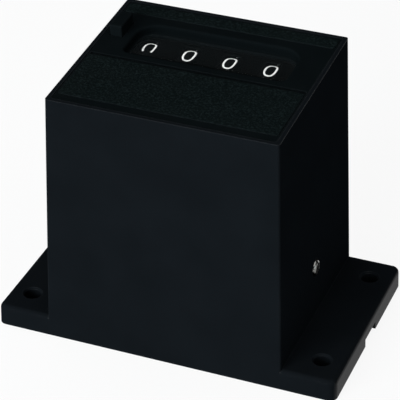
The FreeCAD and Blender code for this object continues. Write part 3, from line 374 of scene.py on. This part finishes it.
def housing_finish():
    # The housing's edges are painted a shade paler: partly wear, partly a painted highlight along the rims.
    material = plastic("housing black", (0.0026, 0.0033, 0.0040), roughness=0.42, specular=0.0,
                       grain_scale=4200.0, grain_depth=0.35, wear_amount=0.4, dust_amount=0.01)
    tree, shader = shader_of(material)
    where = add(tree, "ShaderNodeTexCoord").outputs["Object"]
    across = maths(tree, "ABSOLUTE", add(tree, "ShaderNodeSeparateXYZ", Vector=where).outputs["X"])
    polished = ramp(tree, across, case_high.x - 0.6 * MM, case_high.x - 0.1 * MM, 0.0, OUTER_COAT)
    rubbed_and_highlighted = use_group(tree, edge_wear_and_highlight, Reach=0.35 * MM)
    edges = maths(tree, "MULTIPLY", rubbed_and_highlighted.outputs["Mask"], EDGE_COAT)
    feed(tree, shader.inputs["Coat Weight"], maths(tree, "MAXIMUM", polished, edges))
    shader.inputs["Coat Roughness"].default_value = 0.22
    return material

housing_black = housing_finish()
print(housing_black.name)

# %% Other plastics
face_black = plastic("face black", (0.0017, 0.0025, 0.0028), roughness=0.36, specular=0.0,
                     grain_scale=6000.0, grain_depth=0.15, dust_amount=0.01)
band_black = plastic("grained band", (0.0018, 0.0029, 0.0030), roughness=0.55, specular=0.0,
                     grain_scale=7000.0, grain_depth=0.4, dust_amount=0.01, wear_reach=0.08 * MM,
                     wear_amount=0.35, speckle=1.0)
mask_black = plastic("mask black", (0.0016, 0.0021, 0.0022), roughness=0.6, specular=0.0, dust_amount=0.0)
wheel_black = plastic("wheel black", (0.0014, 0.0018, 0.0019), roughness=0.45, specular=0.0, dust_amount=0.0)
# The key's edges are painted much paler: partly wear, partly a painted highlight on its lit edges.
key_black = plastic("key black", (0.0019, 0.0027, 0.0030), roughness=0.34, specular=0.0, wear_amount=0.8,
                    dust_amount=0.01)
base_black = plastic("base black", (0.012, 0.012, 0.013), roughness=0.5, specular=0.2, dust_amount=0.0)
terminal_black = plastic("terminal black", (0.02, 0.02, 0.02), roughness=0.45, dust_amount=0.1)
nylon = plastic("natural nylon", (0.74, 0.71, 0.62), roughness=0.45, worn_and_highlighted_tone=(0.8, 0.78, 0.7),
                dust_amount=0.1, wear_amount=0.3)
bobbin_nylon = plastic("bobbin nylon", (0.62, 0.57, 0.45), roughness=0.5, worn_and_highlighted_tone=(0.7, 0.66, 0.55),
                       dust_amount=0.1, wear_amount=0.3)
lead_red = plastic("lead red", (0.42, 0.03, 0.02), roughness=0.4, worn_and_highlighted_tone=(0.5, 0.08, 0.06),
                   dust_amount=0.0)
print("plastics made")

# %% Metals
zinc = metal("zinc plated sheet", (0.62, 0.62, 0.60), 0.34, (1.0, 1.0, 18.0), tint=(0.62, 0.57, 0.42))
nickel = metal("nickel screw", (0.80, 0.78, 0.74), 0.18, (20.0, 1.0, 1.0), line_depth=0.1, spread=0.08)
dull_nickel = metal("dull nickel screw", (0.20, 0.20, 0.19), 0.16, (20.0, 1.0, 1.0), line_depth=0.1,
                    spread=0.08)
ground = metal("ground steel", (0.66, 0.66, 0.67), 0.22, (60.0, 1.0, 1.0))
spring_wire = metal("spring wire", (0.5, 0.5, 0.52), 0.3)
hardened = metal("hardened steel", (0.30, 0.30, 0.32), 0.38, tint=(0.26, 0.24, 0.24))
soft_iron = metal("soft iron", (0.44, 0.43, 0.41), 0.4, (1.0, 1.0, 40.0))
brass = metal("ratchet brass", (0.78, 0.58, 0.26), 0.25, (30.0, 1.0, 1.0))
copper = metal("enamelled copper", (0.72, 0.27, 0.10), 0.22, (1.0, 1.0, 1.0), line_depth=0.05, spread=0.05,
               tint=(0.55, 0.17, 0.06))
print("metals made")

# %% [markdown]
# ### Window and figure ink
# The pane is thin polished acrylic: mostly you see through it, and it adds a faint reflection. An
# alpha below one does that without the dark look that a refracting sheet gets over a shallow gap.
# The figures are white screen ink, slightly chalky, with fine grey specks where it lies thin.

# %% Window and ink
def window_finish():
    material = bpy.data.materials.new("window clear")
    material.use_nodes = True
    tree, shader = shader_of(material)
    touched = use_group(tree, handling, Scratch_Scale=500.0)
    shader.inputs["Base Color"].default_value = (0.010, 0.013, 0.014, 1)
    smeared = maths(tree, "MULTIPLY", touched.outputs["Smears"], 0.10)
    scratched = maths(tree, "MULTIPLY", touched.outputs["Scratches"], 0.05)
    feed(tree, shader.inputs["Roughness"], maths(tree, "ADD", 0.06, smeared))
    feed(tree, shader.inputs["Alpha"], maths(tree, "ADD", 0.10, scratched))
    shader.inputs["Specular IOR Level"].default_value = 0.5
    return material

def ink_finish():
    material = bpy.data.materials.new("figure ink")
    material.use_nodes = True
    tree, shader = shader_of(material)
    where = add(tree, "ShaderNodeTexCoord").outputs["Object"]
    speckle = add(tree, "ShaderNodeTexNoise", Vector=where, Scale=9000.0, Detail=3.0)
    thin = ramp(tree, speckle.outputs[0], 0.62, 0.72)
    ink = blend_colour(tree, thin, (0.95, 0.95, 0.93, 1), (0.6, 0.6, 0.58, 1))
    feed(tree, shader.inputs["Base Color"], ink)
    relief = add(tree, "ShaderNodeBump", Strength=0.3, Distance=FINE_RELIEF, Height=speckle.outputs[0])
    feed(tree, shader.inputs["Normal"], relief.outputs["Normal"])
    shader.inputs["Roughness"].default_value = 0.6
    shader.inputs["Specular IOR Level"].default_value = 0.3
    return material

window_clear = window_finish()
figure_ink = ink_finish()
print(window_clear.name, "and", figure_ink.name)

# %% Give every node its finish
FINISHES = {
    "housing": housing_black, "face_plate": face_black, "window_pane": window_clear,
    "window_mask": mask_black, "reset_key": key_black, "base_plate": base_black,
    "terminal_block": terminal_black, "coil_bobbin": bobbin_nylon, "coil_leads": lead_red,
    "left_side_plate": zinc, "right_side_plate": zinc, "chassis_floor": zinc, "frame_spacers": zinc,
    "magnet_yoke": zinc, "armature": zinc, "magnet_core": soft_iron, "ratchet_wheel": brass,
    "frame_screws": nickel, "side_screws": dull_nickel, "base_screws": nickel, "terminal_screws": nickel,
    "shaft_clips": spring_wire, "reset_key_spring": spring_wire, "armature_spring": spring_wire,
    "wheel_shaft": ground, "pinion_shaft": ground, "reset_shaft": ground, "drive_pawl_pin": ground,
    "armature_pin": ground,
    "drive_pawl": hardened, "holding_pawl": hardened, "reset_lever": hardened, "reset_hammers": hardened,
    "coil_winding": copper,
}

def finish_node(name, material):
    mesh = nodes[name].data
    mesh.materials.clear()
    mesh.materials.append(material)

for name in nodes:
    if name.startswith("number_wheel"):
        finish_node(name, wheel_black)
    elif name.startswith("transfer_pinion"):
        finish_node(name, nylon)
    else:
        finish_node(name, FINISHES[name])
print("finished nodes:", len(nodes))

# %% [markdown]
# ## Making meshes from node trees
# A geometry tree rides on a modifier. Its inputs are set by socket identifier before it is first
# evaluated. The evaluated result is copied to a plain mesh at the origin, and the modifier goes.

# %% Bake a tree to a mesh
def link_object(name, data):
    made = bpy.data.objects.new(name, data)
    bpy.context.scene.collection.objects.link(made)
    return made

def run_tree(name, tree, source_data, **values):
    source = link_object(name + "_source", source_data)
    modifier = source.modifiers.new("tree", "NODES")
    modifier.node_group = tree
    for item in tree.interface.items_tree:
        if item.item_type == "SOCKET" and item.in_out == "INPUT" and item.name.replace(" ", "_") in values:
            modifier[item.identifier] = values[item.name.replace(" ", "_")]
    bpy.context.view_layer.update()
    shown = source.evaluated_get(bpy.context.evaluated_depsgraph_get())
    mesh = bpy.data.meshes.new_from_object(shown)
    mesh.name = name
    source.modifiers.remove(modifier)
    bpy.data.objects.remove(source)
    piece = link_object(name, mesh)
    print(name, "has", len(mesh.polygons), "faces")
    return piece

def geometry_tree(name, inputs):
    shape = [("Geometry", "NodeSocketGeometry", None)]
    return new_group(name, "GeometryNodeTree", shape + inputs, [("Geometry", "NodeSocketGeometry")])

# %% [markdown]
# ## The printed figures
# Each drum carries the figures 0 to 9 around its rim. Each figure is a pen stroke: a few arcs and
# lines drawn flat, as the maker's artwork is. The tree sweeps a round pen along the strokes,
# flattens it to a film of ink and rolls the sheet around the drum, so the print follows the curve.

# %% Figure artwork
FIGURE_HEIGHT = 4.25 * MM
FIGURE_WIDTH_SHARE = 0.56
ARTWORK_WIDTH = 0.58
PEN_WIDTH = 0.40 * MM

def arc(cx, cy, rx, ry, start, end, steps=18):
    """Points on an ellipse, angles in degrees; the unit is the figure's height."""
    points = []
    for step in range(steps + 1):
        angle = math.radians(start + (end - start) * step / steps)
        points.append((cx + rx * math.cos(angle), cy + ry * math.sin(angle)))
    return points

def long_oval(rx, ry, power=2.5, steps=40):
    """A closed oval with flatter sides than an ellipse."""
    points = []
    for step in range(steps + 1):
        angle = math.pi / 2 + 2 * math.pi * step / steps
        across = math.copysign(abs(math.cos(angle)) ** (2 / power), math.cos(angle))
        along = math.copysign(abs(math.sin(angle)) ** (2 / power), math.sin(angle))
        points.append((rx * across, ry * along))
    return points

def turned_over(strokes):
    return [[(-x, -y) for x, y in stroke] for stroke in strokes]

SIX = [arc(0.14, -0.17, 0.43, 0.67, 90, 180) + arc(0, -0.2, 0.29, 0.3, 180, 540, 30)]
FIGURES = [
    [long_oval(0.29, 0.5)],
    [[(-0.14, 0.30), (0.06, 0.5), (0.06, -0.5)]],
    [arc(0, 0.22, 0.28, 0.28, 165, -35) + [(-0.28, -0.5), (0.3, -0.5)]],
    [arc(0, 0.25, 0.25, 0.25, 150, -90) + arc(0, -0.25, 0.29, 0.25, 90, -155)],
    [[(0.12, -0.5), (0.12, 0.5), (-0.3, -0.2), (0.3, -0.2)]],
    [[(0.26, 0.5), (-0.19, 0.5), (-0.23, 0.05)] + arc(0, -0.18, 0.29, 0.32, 128, -150)],
    SIX,
    [[(-0.28, 0.5), (0.29, 0.5), (-0.06, -0.5)]],
    [arc(0, 0.26, 0.24, 0.24, 90, 450, 24), arc(0, -0.24, 0.29, 0.26, 90, 450, 28)],
    turned_over(SIX),
]

def figure_sheet(name, drum_radius, worn_share):
    """The ten figures on a flat sheet, y along the rim; worn_share of the first one's foot is gone."""
    sheet = bpy.data.curves.new(name, "CURVE")
    sheet.dimensions = "3D"
    pitch = 2 * math.pi * drum_radius / len(FIGURES)
    tall = FIGURE_HEIGHT - PEN_WIDTH
    wide = tall * FIGURE_WIDTH_SHARE / ARTWORK_WIDTH
    for value, strokes in enumerate(FIGURES):
        for stroke in strokes:
            if value == 0:
                stroke = worn_stroke(stroke, worn_share)
            line = sheet.splines.new("POLY")
            line.points.add(len(stroke) - 1)
            for point, (x, y) in zip(line.points, stroke):
                point.co = (x * wide, y * tall + value * pitch, 0, 1)
    return sheet

def worn_stroke(stroke, worn_share):
    """Leaves out the run of points below the worn line, so that the stroke starts and ends beside it."""
    if worn_share <= 0:
        return stroke
    line = -0.5 + worn_share
    below = [index for index, (_, y) in enumerate(stroke) if y < line]
    loop = stroke[:-1]
    start = below[-1] + 1
    return [loop[(start + step) % len(loop)] for step in range(len(loop) - len(below))]

print("figures drawn:", len(FIGURES))

# %% Ink on the drum
INK_FILM = 0.03 * MM
PEN_STEP = 0.12 * MM

def make_roll_tree():
    tree, given, result = geometry_tree("roll print on drum", [
        ("Pen Width", "NodeSocketFloat", PEN_WIDTH), ("Film", "NodeSocketFloat", INK_FILM),
        ("Drum Radius", "NodeSocketFloat", 0.0085), ("Turn", "NodeSocketFloat", 0.0),
        ("Centre", "NodeSocketVector", (0.0, 0.0, 0.0)), ("Ink", "NodeSocketMaterial", None)])
    fine = add(tree, "GeometryNodeResampleCurve", {"mode": "LENGTH"}, Curve=given["Geometry"],
               Length=PEN_STEP)
    pen = add(tree, "GeometryNodeCurvePrimitiveCircle", {"mode": "RADIUS"}, Resolution=10)
    feed(tree, pen.inputs["Radius"], maths(tree, "MULTIPLY", given["Pen Width"], 0.5))
    swept = add(tree, "GeometryNodeCurveToMesh", Curve=fine.outputs[0], Profile_Curve=pen.outputs[0])
    swept.inputs["Fill Caps"].default_value = True
    here = add(tree, "ShaderNodeSeparateXYZ", Vector=add(tree, "GeometryNodeInputPosition").outputs[0])
    angle = maths(tree, "ADD", maths(tree, "DIVIDE", here.outputs["Y"], given["Drum Radius"]), given["Turn"])
    share = maths(tree, "DIVIDE", given["Film"], given["Pen Width"])
    flattened = maths(tree, "MULTIPLY", here.outputs["Z"], maths(tree, "MULTIPLY", share, 2.0))
    reach = maths(tree, "ADD", flattened, given["Drum Radius"])
    rolled = add(tree, "ShaderNodeCombineXYZ", X=here.outputs["X"],
                 Y=maths(tree, "MULTIPLY", reach, maths(tree, "SINE", angle)),
                 Z=maths(tree, "MULTIPLY", reach, maths(tree, "COSINE", angle)))
    placed = vector_maths(tree, "ADD", rolled.outputs[0], given["Centre"])
    moved = add(tree, "GeometryNodeSetPosition", Geometry=swept.outputs[0], Position=placed)
    real = add(tree, "GeometryNodeRealizeInstances", Geometry=moved.outputs[0])
    inked = add(tree, "GeometryNodeSetMaterial", Geometry=real.outputs[0], Material=given["Ink"])
    feed(tree, result["Geometry"], inked.outputs[0])
    return tree

roll_tree = make_roll_tree()
print("tree:", roll_tree.name)

# %% Print the four drums
WORN_FOOT = {"thousands": 0.10}
REST_LEAD = 0.03
RIM_BAND = 0.1 * MM

def drum_radius(order):
    low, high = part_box("number_wheel_" + order)
    return (high.z - low.z) / 2

def wheel_middle(order):
    """The drum is the only part of the wheel that reaches the full radius."""
    radius = drum_radius(order)
    rim = [v.co.x for v in nodes["number_wheel_" + order].data.vertices
           if math.hypot(v.co.y - wheel_axis.y, v.co.z - wheel_axis.z) > radius - RIM_BAND]
    return (min(rim) + max(rim)) / 2

def print_drum(order):
    radius = drum_radius(order)
    sheet = figure_sheet("figure_sheet_" + order, radius, WORN_FOOT.get(order, 0.0))
    piece = run_tree("figures_" + order, roll_tree, sheet, Drum_Radius=radius, Turn=REST_LEAD - top_slope,
                     Centre=(wheel_middle(order), wheel_axis.y, wheel_axis.z), Ink=figure_ink)
    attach(piece, "wheel_" + order)
    return piece

for order in WHEEL_ORDERS:
    print_drum(order)

# %% [markdown]
# ## The grained bands
# The face plate has two bands with a leather grain, in front of the window and behind it. Real
# relief catches light at a glancing view, so each band is a thin skin whose top is pushed up and
# down: Voronoi cells give the pebbles and their creases, and noise breaks up their size.

# %% Leather grain tree
CELL_DRIFT = 0.7 * MM
SKIN_THICKNESS = 0.06 * MM
PEBBLE_SHARE = 0.75
UNEVEN_SHARE = 0.5

def make_grain_tree():
    tree, given, result = geometry_tree("leather grain band", [
        ("Size", "NodeSocketVector", (0.04, 0.015, 0.0)), ("Corner", "NodeSocketFloat", 0.0012),
        ("Cell", "NodeSocketFloat", 0.00016), ("Relief", "NodeSocketFloat", 0.00005),
        ("Pebble", "NodeSocketFloat", 0.0006), ("Seed", "NodeSocketFloat", 3.0),
        ("Centre", "NodeSocketVector", (0.0, 0.0, 0.0)), ("Slope", "NodeSocketFloat", 0.0),
        ("Finish", "NodeSocketMaterial", None)])
    size = add(tree, "ShaderNodeSeparateXYZ", Vector=given["Size"])
    counts = [maths(tree, "CEIL", maths(tree, "DIVIDE", size.outputs[axis], given["Cell"])) for axis in "XY"]
    sheet = add(tree, "GeometryNodeMeshGrid", Size_X=size.outputs["X"], Size_Y=size.outputs["Y"],
                Vertices_X=counts[0], Vertices_Y=counts[1])
    here = add(tree, "GeometryNodeInputPosition").outputs[0]
    half = vector_maths(tree, "MULTIPLY", given["Size"], (0.5, 0.5, 0.0))
    corner = add(tree, "ShaderNodeCombineXYZ", X=given["Corner"], Y=given["Corner"]).outputs[0]
    inner = vector_maths(tree, "SUBTRACT", half, corner)
    away = vector_maths(tree, "ABSOLUTE", here)
    beyond = vector_maths(tree, "MAXIMUM", vector_maths(tree, "SUBTRACT", away, inner), (0.0, 0.0, 0.0))
    reach = maths(tree, "MAXIMUM", vector_maths(tree, "LENGTH", beyond), 1e-9)
    pull = maths(tree, "MINIMUM", maths(tree, "DIVIDE", given["Corner"], reach), 1.0)
    scaled = tree.nodes.new("ShaderNodeVectorMath")
    scaled.operation = "SCALE"
    feed(tree, scaled.inputs[0], beyond)
    feed(tree, scaled.inputs["Scale"], pull)
    held = vector_maths(tree, "ADD", vector_maths(tree, "MINIMUM", away, inner), scaled.outputs[0])
    outline = vector_maths(tree, "MULTIPLY", held, vector_maths(tree, "SIGN", here))
    rounded = add(tree, "GeometryNodeSetPosition", Geometry=sheet.outputs[0], Position=outline)
    rim = maths(tree, "SUBTRACT", given["Corner"], maths(tree, "MINIMUM", reach, given["Corner"]))
    fade = ramp(tree, maths(tree, "DIVIDE", rim, given["Pebble"]), 0.0, 0.5)
    scale = maths(tree, "DIVIDE", 1.0, given["Pebble"])
    wobble = add(tree, "ShaderNodeTexNoise", {"noise_dimensions": "3D"}, Vector=here, Scale=scale, Detail=2.0)
    shifted = add(tree, "ShaderNodeVectorMath", {"operation": "MULTIPLY_ADD"})
    feed(tree, shifted.inputs[0], wobble.outputs["Color"])
    shifted.inputs[1].default_value = (CELL_DRIFT, CELL_DRIFT, 0.0)
    feed(tree, shifted.inputs[2], here)
    cells = add(tree, "ShaderNodeTexVoronoi", {"feature": "DISTANCE_TO_EDGE", "voronoi_dimensions": "4D"},
                Vector=shifted.outputs[0], Scale=scale, W=given["Seed"])
    pebble = ramp(tree, cells.outputs["Distance"], 0.0, 0.30)
    uneven = maths(tree, "MULTIPLY", wobble.outputs[0], UNEVEN_SHARE)
    lumps = maths(tree, "ADD", maths(tree, "MULTIPLY", pebble, PEBBLE_SHARE), uneven)
    height = maths(tree, "MULTIPLY", maths(tree, "MULTIPLY", lumps, fade), given["Relief"])
    lift = add(tree, "ShaderNodeCombineXYZ", Z=height).outputs[0]
    top = add(tree, "GeometryNodeSetPosition", Geometry=rounded.outputs[0], Offset=lift)
    under = add(tree, "GeometryNodeSetPosition", Geometry=rounded.outputs[0],
                Offset=(0.0, 0.0, -SKIN_THICKNESS))
    back = add(tree, "GeometryNodeFlipFaces", Mesh=under.outputs[0])
    both = add(tree, "GeometryNodeJoinGeometry")
    tree.links.new(top.outputs[0], both.inputs[0])
    tree.links.new(back.outputs[0], both.inputs[0])
    tilt = add(tree, "ShaderNodeCombineXYZ", X=given["Slope"]).outputs[0]
    placed = add(tree, "GeometryNodeTransform", Geometry=both.outputs[0], Translation=given["Centre"],
                 Rotation=tilt)
    real = add(tree, "GeometryNodeRealizeInstances", Geometry=placed.outputs[0])
    coated = add(tree, "GeometryNodeSetMaterial", Geometry=real.outputs[0], Material=given["Finish"])
    smooth = add(tree, "GeometryNodeSetShadeSmooth", Geometry=coated.outputs[0])
    feed(tree, result["Geometry"], smooth.outputs[0])
    return tree

grain_tree = make_grain_tree()
print("tree:", grain_tree.name)

# %% Stretch the bands over their pads
def close_rim(mesh):
    """Joins the rim of the top sheet to the rim of the sheet under it, point by point."""
    half = len(mesh.vertices) // 2
    work = bmesh.new()
    work.from_mesh(mesh)
    work.verts.ensure_lookup_table()
    rim = [edge for edge in work.edges if edge.is_boundary and edge.verts[0].index < half]
    for edge in rim:
        a, b = (vertex.index for vertex in edge.verts)
        quad = [work.verts[a], work.verts[a + half], work.verts[b + half], work.verts[b]]
        work.faces.new(quad).material_index = edge.link_faces[0].material_index
    bmesh.ops.remove_doubles(work, verts=work.verts, dist=1e-8)
    bmesh.ops.recalc_face_normals(work, faces=work.faces)
    work.to_mesh(mesh)
    work.free()

SKIN_SINK = 0.02 * MM
SKIN_CORNER = 0.5 * MM
SKIN_RELIEF = 0.12 * MM
PEBBLE_SIZE = 0.38 * MM
ON_THE_PLANE = 0.02 * MM

def pad_height():
    """Height of the pads' top plane where it crosses y = 0."""
    return max(v.co.z - v.co.y * math.tan(top_slope) for v in nodes["face_plate"].data.vertices)

def along_plate(point):
    """Distance up the slope, and height above the pads' top plane."""
    rise = point.z - pad_top
    up = point.y * math.cos(top_slope) + rise * math.sin(top_slope)
    return up, rise * math.cos(top_slope) - point.y * math.sin(top_slope)

def pad_outline(lowest, highest):
    """Box of the pad whose top points lie between two distances up the slope."""
    found = []
    for vertex in nodes["face_plate"].data.vertices:
        up, height = along_plate(vertex.co)
        if abs(height) < ON_THE_PLANE and lowest < up < highest:
            found.append((vertex.co.x, up))
    xs, ups = zip(*found)
    return min(xs), max(xs), min(ups), max(ups)

def grain_band(name, lowest, highest, seed):
    x0, x1, up0, up1 = pad_outline(lowest, highest)
    middle = (up0 + up1) / 2
    centre = ((x0 + x1) / 2, middle * math.cos(top_slope), pad_top + middle * math.sin(top_slope) - SKIN_SINK)
    piece = run_tree(name, grain_tree, bpy.data.meshes.new(name + "_base"),
                     Size=(x1 - x0, up1 - up0, 0.0), Corner=SKIN_CORNER, Relief=SKIN_RELIEF,
                     Pebble=PEBBLE_SIZE, Seed=seed, Centre=centre, Slope=top_slope, Finish=band_black)
    close_rim(piece.data)
    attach(piece, "case")
    return piece

pad_top = pad_height()
grain_band("front_grain_band", lowest=-25 * MM, highest=0.0, seed=3.0)
grain_band("back_grain_band", lowest=12 * MM, highest=25 * MM, seed=11.0)

# %% [markdown]
# ## The wound coil
# A coil looks wound because each turn is a separate ridge of light. A tree lays rings of wire side
# by side between the cheeks of the bobbin, over a solid core of the same copper.

# %% Coil winding
WIRE = 0.36 * MM

def make_coil_tree():
    tree, given, result = geometry_tree("wound coil", [
        ("Outer Radius", "NodeSocketFloat", 0.009), ("Inner Radius", "NodeSocketFloat", 0.004),
        ("Wire", "NodeSocketFloat", WIRE), ("Length", "NodeSocketFloat", 0.018),
        ("Centre", "NodeSocketVector", (0.0, 0.0, 0.0)), ("Copper", "NodeSocketMaterial", None)])
    turns = maths(tree, "FLOOR", maths(tree, "DIVIDE", given["Length"], given["Wire"]))
    pitch = maths(tree, "DIVIDE", given["Length"], turns)
    column = add(tree, "GeometryNodeMeshLine", {"mode": "OFFSET"}, Count=turns,
                 Offset=add(tree, "ShaderNodeCombineXYZ", Z=pitch).outputs[0])
    half_wire = maths(tree, "MULTIPLY", given["Wire"], 0.5)
    ring = add(tree, "GeometryNodeCurvePrimitiveCircle", {"mode": "RADIUS"}, Resolution=56,
               Radius=maths(tree, "SUBTRACT", given["Outer Radius"], half_wire))
    section = add(tree, "GeometryNodeCurvePrimitiveCircle", {"mode": "RADIUS"}, Resolution=8,
                  Radius=half_wire)
    turn = add(tree, "GeometryNodeCurveToMesh", Curve=ring.outputs[0], Profile_Curve=section.outputs[0])
    wound = add(tree, "GeometryNodeInstanceOnPoints", Points=column.outputs[0], Instance=turn.outputs[0])
    raised = add(tree, "GeometryNodeTransform", Geometry=wound.outputs[0],
                 Translation=add(tree, "ShaderNodeCombineXYZ", Z=half_wire).outputs[0])
    fill = add(tree, "GeometryNodeMeshCylinder", Vertices=56, Depth=given["Length"],
               Radius=maths(tree, "SUBTRACT", given["Outer Radius"], half_wire))
    half_length = maths(tree, "MULTIPLY", given["Length"], 0.5)
    filled = add(tree, "GeometryNodeTransform", Geometry=fill.outputs[0],
                 Translation=add(tree, "ShaderNodeCombineXYZ", Z=half_length).outputs[0])
    both = add(tree, "GeometryNodeJoinGeometry")
    tree.links.new(raised.outputs[0], both.inputs[0])
    tree.links.new(filled.outputs[0], both.inputs[0])
    placed = add(tree, "GeometryNodeTransform", Geometry=both.outputs[0], Translation=given["Centre"])
    real = add(tree, "GeometryNodeRealizeInstances", Geometry=placed.outputs[0])
    coated = add(tree, "GeometryNodeSetMaterial", Geometry=real.outputs[0], Material=given["Copper"])
    feed(tree, result["Geometry"], coated.outputs[0])
    return tree

def wind_coil():
    low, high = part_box("coil_winding")
    centre = ((low.x + high.x) / 2, (low.y + high.y) / 2, low.z)
    piece = run_tree("coil_turns", make_coil_tree(), bpy.data.meshes.new("coil_base"),
                     Outer_Radius=(high.x - low.x) / 2, Length=high.z - low.z, Centre=centre, Copper=copper)
    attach(piece, "case")
    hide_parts("coil_winding")
    return piece

wind_coil()

# %% [markdown]
# ## The studio
# A pale floor under a wide softbox overhead. A second, cooler box to the front left makes the front
# wall the lightest one, and a weak one at the right keeps the right wall from going quite black. The
# floor reads as white paper to the camera and in reflections, while the light that it throws back on
# the case stays low, as if the case stood on a small table.

# %% Floor
FLOOR_REACH = 3.0
FLOOR_DROP = 0.02 * MM
PAPER_GLOW = 0.92

def add_floor():
    mesh = bpy.data.meshes.new("floor")
    corners = [(x, y, 0) for x, y in ((-1, -1), (1, -1), (1, 1), (-1, 1))]
    mesh.from_pydata([(FLOOR_REACH * x, FLOOR_REACH * y, z) for x, y, z in corners], [], [(0, 1, 2, 3)])
    floor = link_object("floor", mesh)
    floor.location.z = case_low.z - FLOOR_DROP
    material = bpy.data.materials.new("floor paper")
    material.use_nodes = True
    tree, shader = shader_of(material)
    where = add(tree, "ShaderNodeTexCoord").outputs["Object"]
    fibres = add(tree, "ShaderNodeTexNoise", Vector=where, Scale=900.0)
    mottle = ramp(tree, fibres.outputs[0], 0.3, 0.7)
    paper = blend_colour(tree, mottle, (0.58, 0.58, 0.58, 1), (0.60, 0.60, 0.60, 1))
    feed(tree, shader.inputs["Base Color"], paper)
    shader.inputs["Roughness"].default_value = 0.9
    shader.inputs["Specular IOR Level"].default_value = 0.1
    glow = add(tree, "ShaderNodeEmission", Color=(0.97, 0.97, 0.97, 1))
    path = add(tree, "ShaderNodeLightPath").outputs
    seen = maths(tree, "MAXIMUM", path["Is Camera Ray"], path["Is Glossy Ray"])
    choice = add(tree, "ShaderNodeMixShader")
    feed(tree, choice.inputs[0], maths(tree, "MULTIPLY", seen, PAPER_GLOW))
    feed(tree, choice.inputs[1], shader.outputs[0])
    feed(tree, choice.inputs[2], glow.outputs[0])
    feed(tree, tree.nodes["Material Output"].inputs["Surface"], choice.outputs[0])
    mesh.materials.append(material)
    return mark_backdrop(floor)

add_floor()
print("floor laid")

# %% Lights and surround
def softbox(name, place, aim, width, depth, power, colour):
    data = bpy.data.lights.new(name, "AREA")
    data.shape = "RECTANGLE"
    data.size = width
    data.size_y = depth
    data.energy = power
    data.color = colour
    light = bpy.data.objects.new(name, data)
    light.location = place
    light.rotation_euler = (Vector(aim) - Vector(place)).to_track_quat("-Z", "Y").to_euler()
    bpy.context.scene.collection.objects.link(light)
    return light

CASE_MIDDLE = (0, 0, 0.03)
softbox("overhead", place=(-0.10, -0.05, 0.85), aim=(0, 0, 0), width=1.5, depth=1.5, power=13.0,
        colour=(1.0, 1.0, 1.0))
softbox("front_left", place=(-0.25, -0.75, 0.20), aim=CASE_MIDDLE, width=0.6, depth=0.5, power=21.0,
        colour=(0.90, 0.96, 1.0))
softbox("right_fill", place=(0.90, -0.30, 0.30), aim=CASE_MIDDLE, width=0.6, depth=0.6, power=3.5,
        colour=(0.88, 0.96, 1.0))

def add_surround():
    world = bpy.data.worlds.new("surround")
    bpy.context.scene.world = world
    world.use_nodes = True
    tree = world.node_tree
    sky = tree.nodes["Background"]
    sky.inputs["Color"].default_value = (0.9, 0.93, 0.95, 1)
    sky.inputs["Strength"].default_value = 0.15
    seen = tree.nodes.new("ShaderNodeBackground")
    seen.inputs["Color"].default_value = (0.93, 0.93, 0.93, 1)
    choice = tree.nodes.new("ShaderNodeMixShader")
    tree.links.new(tree.nodes.new("ShaderNodeLightPath").outputs["Is Camera Ray"], choice.inputs[0])
    tree.links.new(sky.outputs[0], choice.inputs[1])
    tree.links.new(seen.outputs[0], choice.inputs[2])
    tree.links.new(choice.outputs[0], tree.nodes["World Output"].inputs[0])

add_surround()
bpy.context.scene.view_settings.view_transform = "Standard"
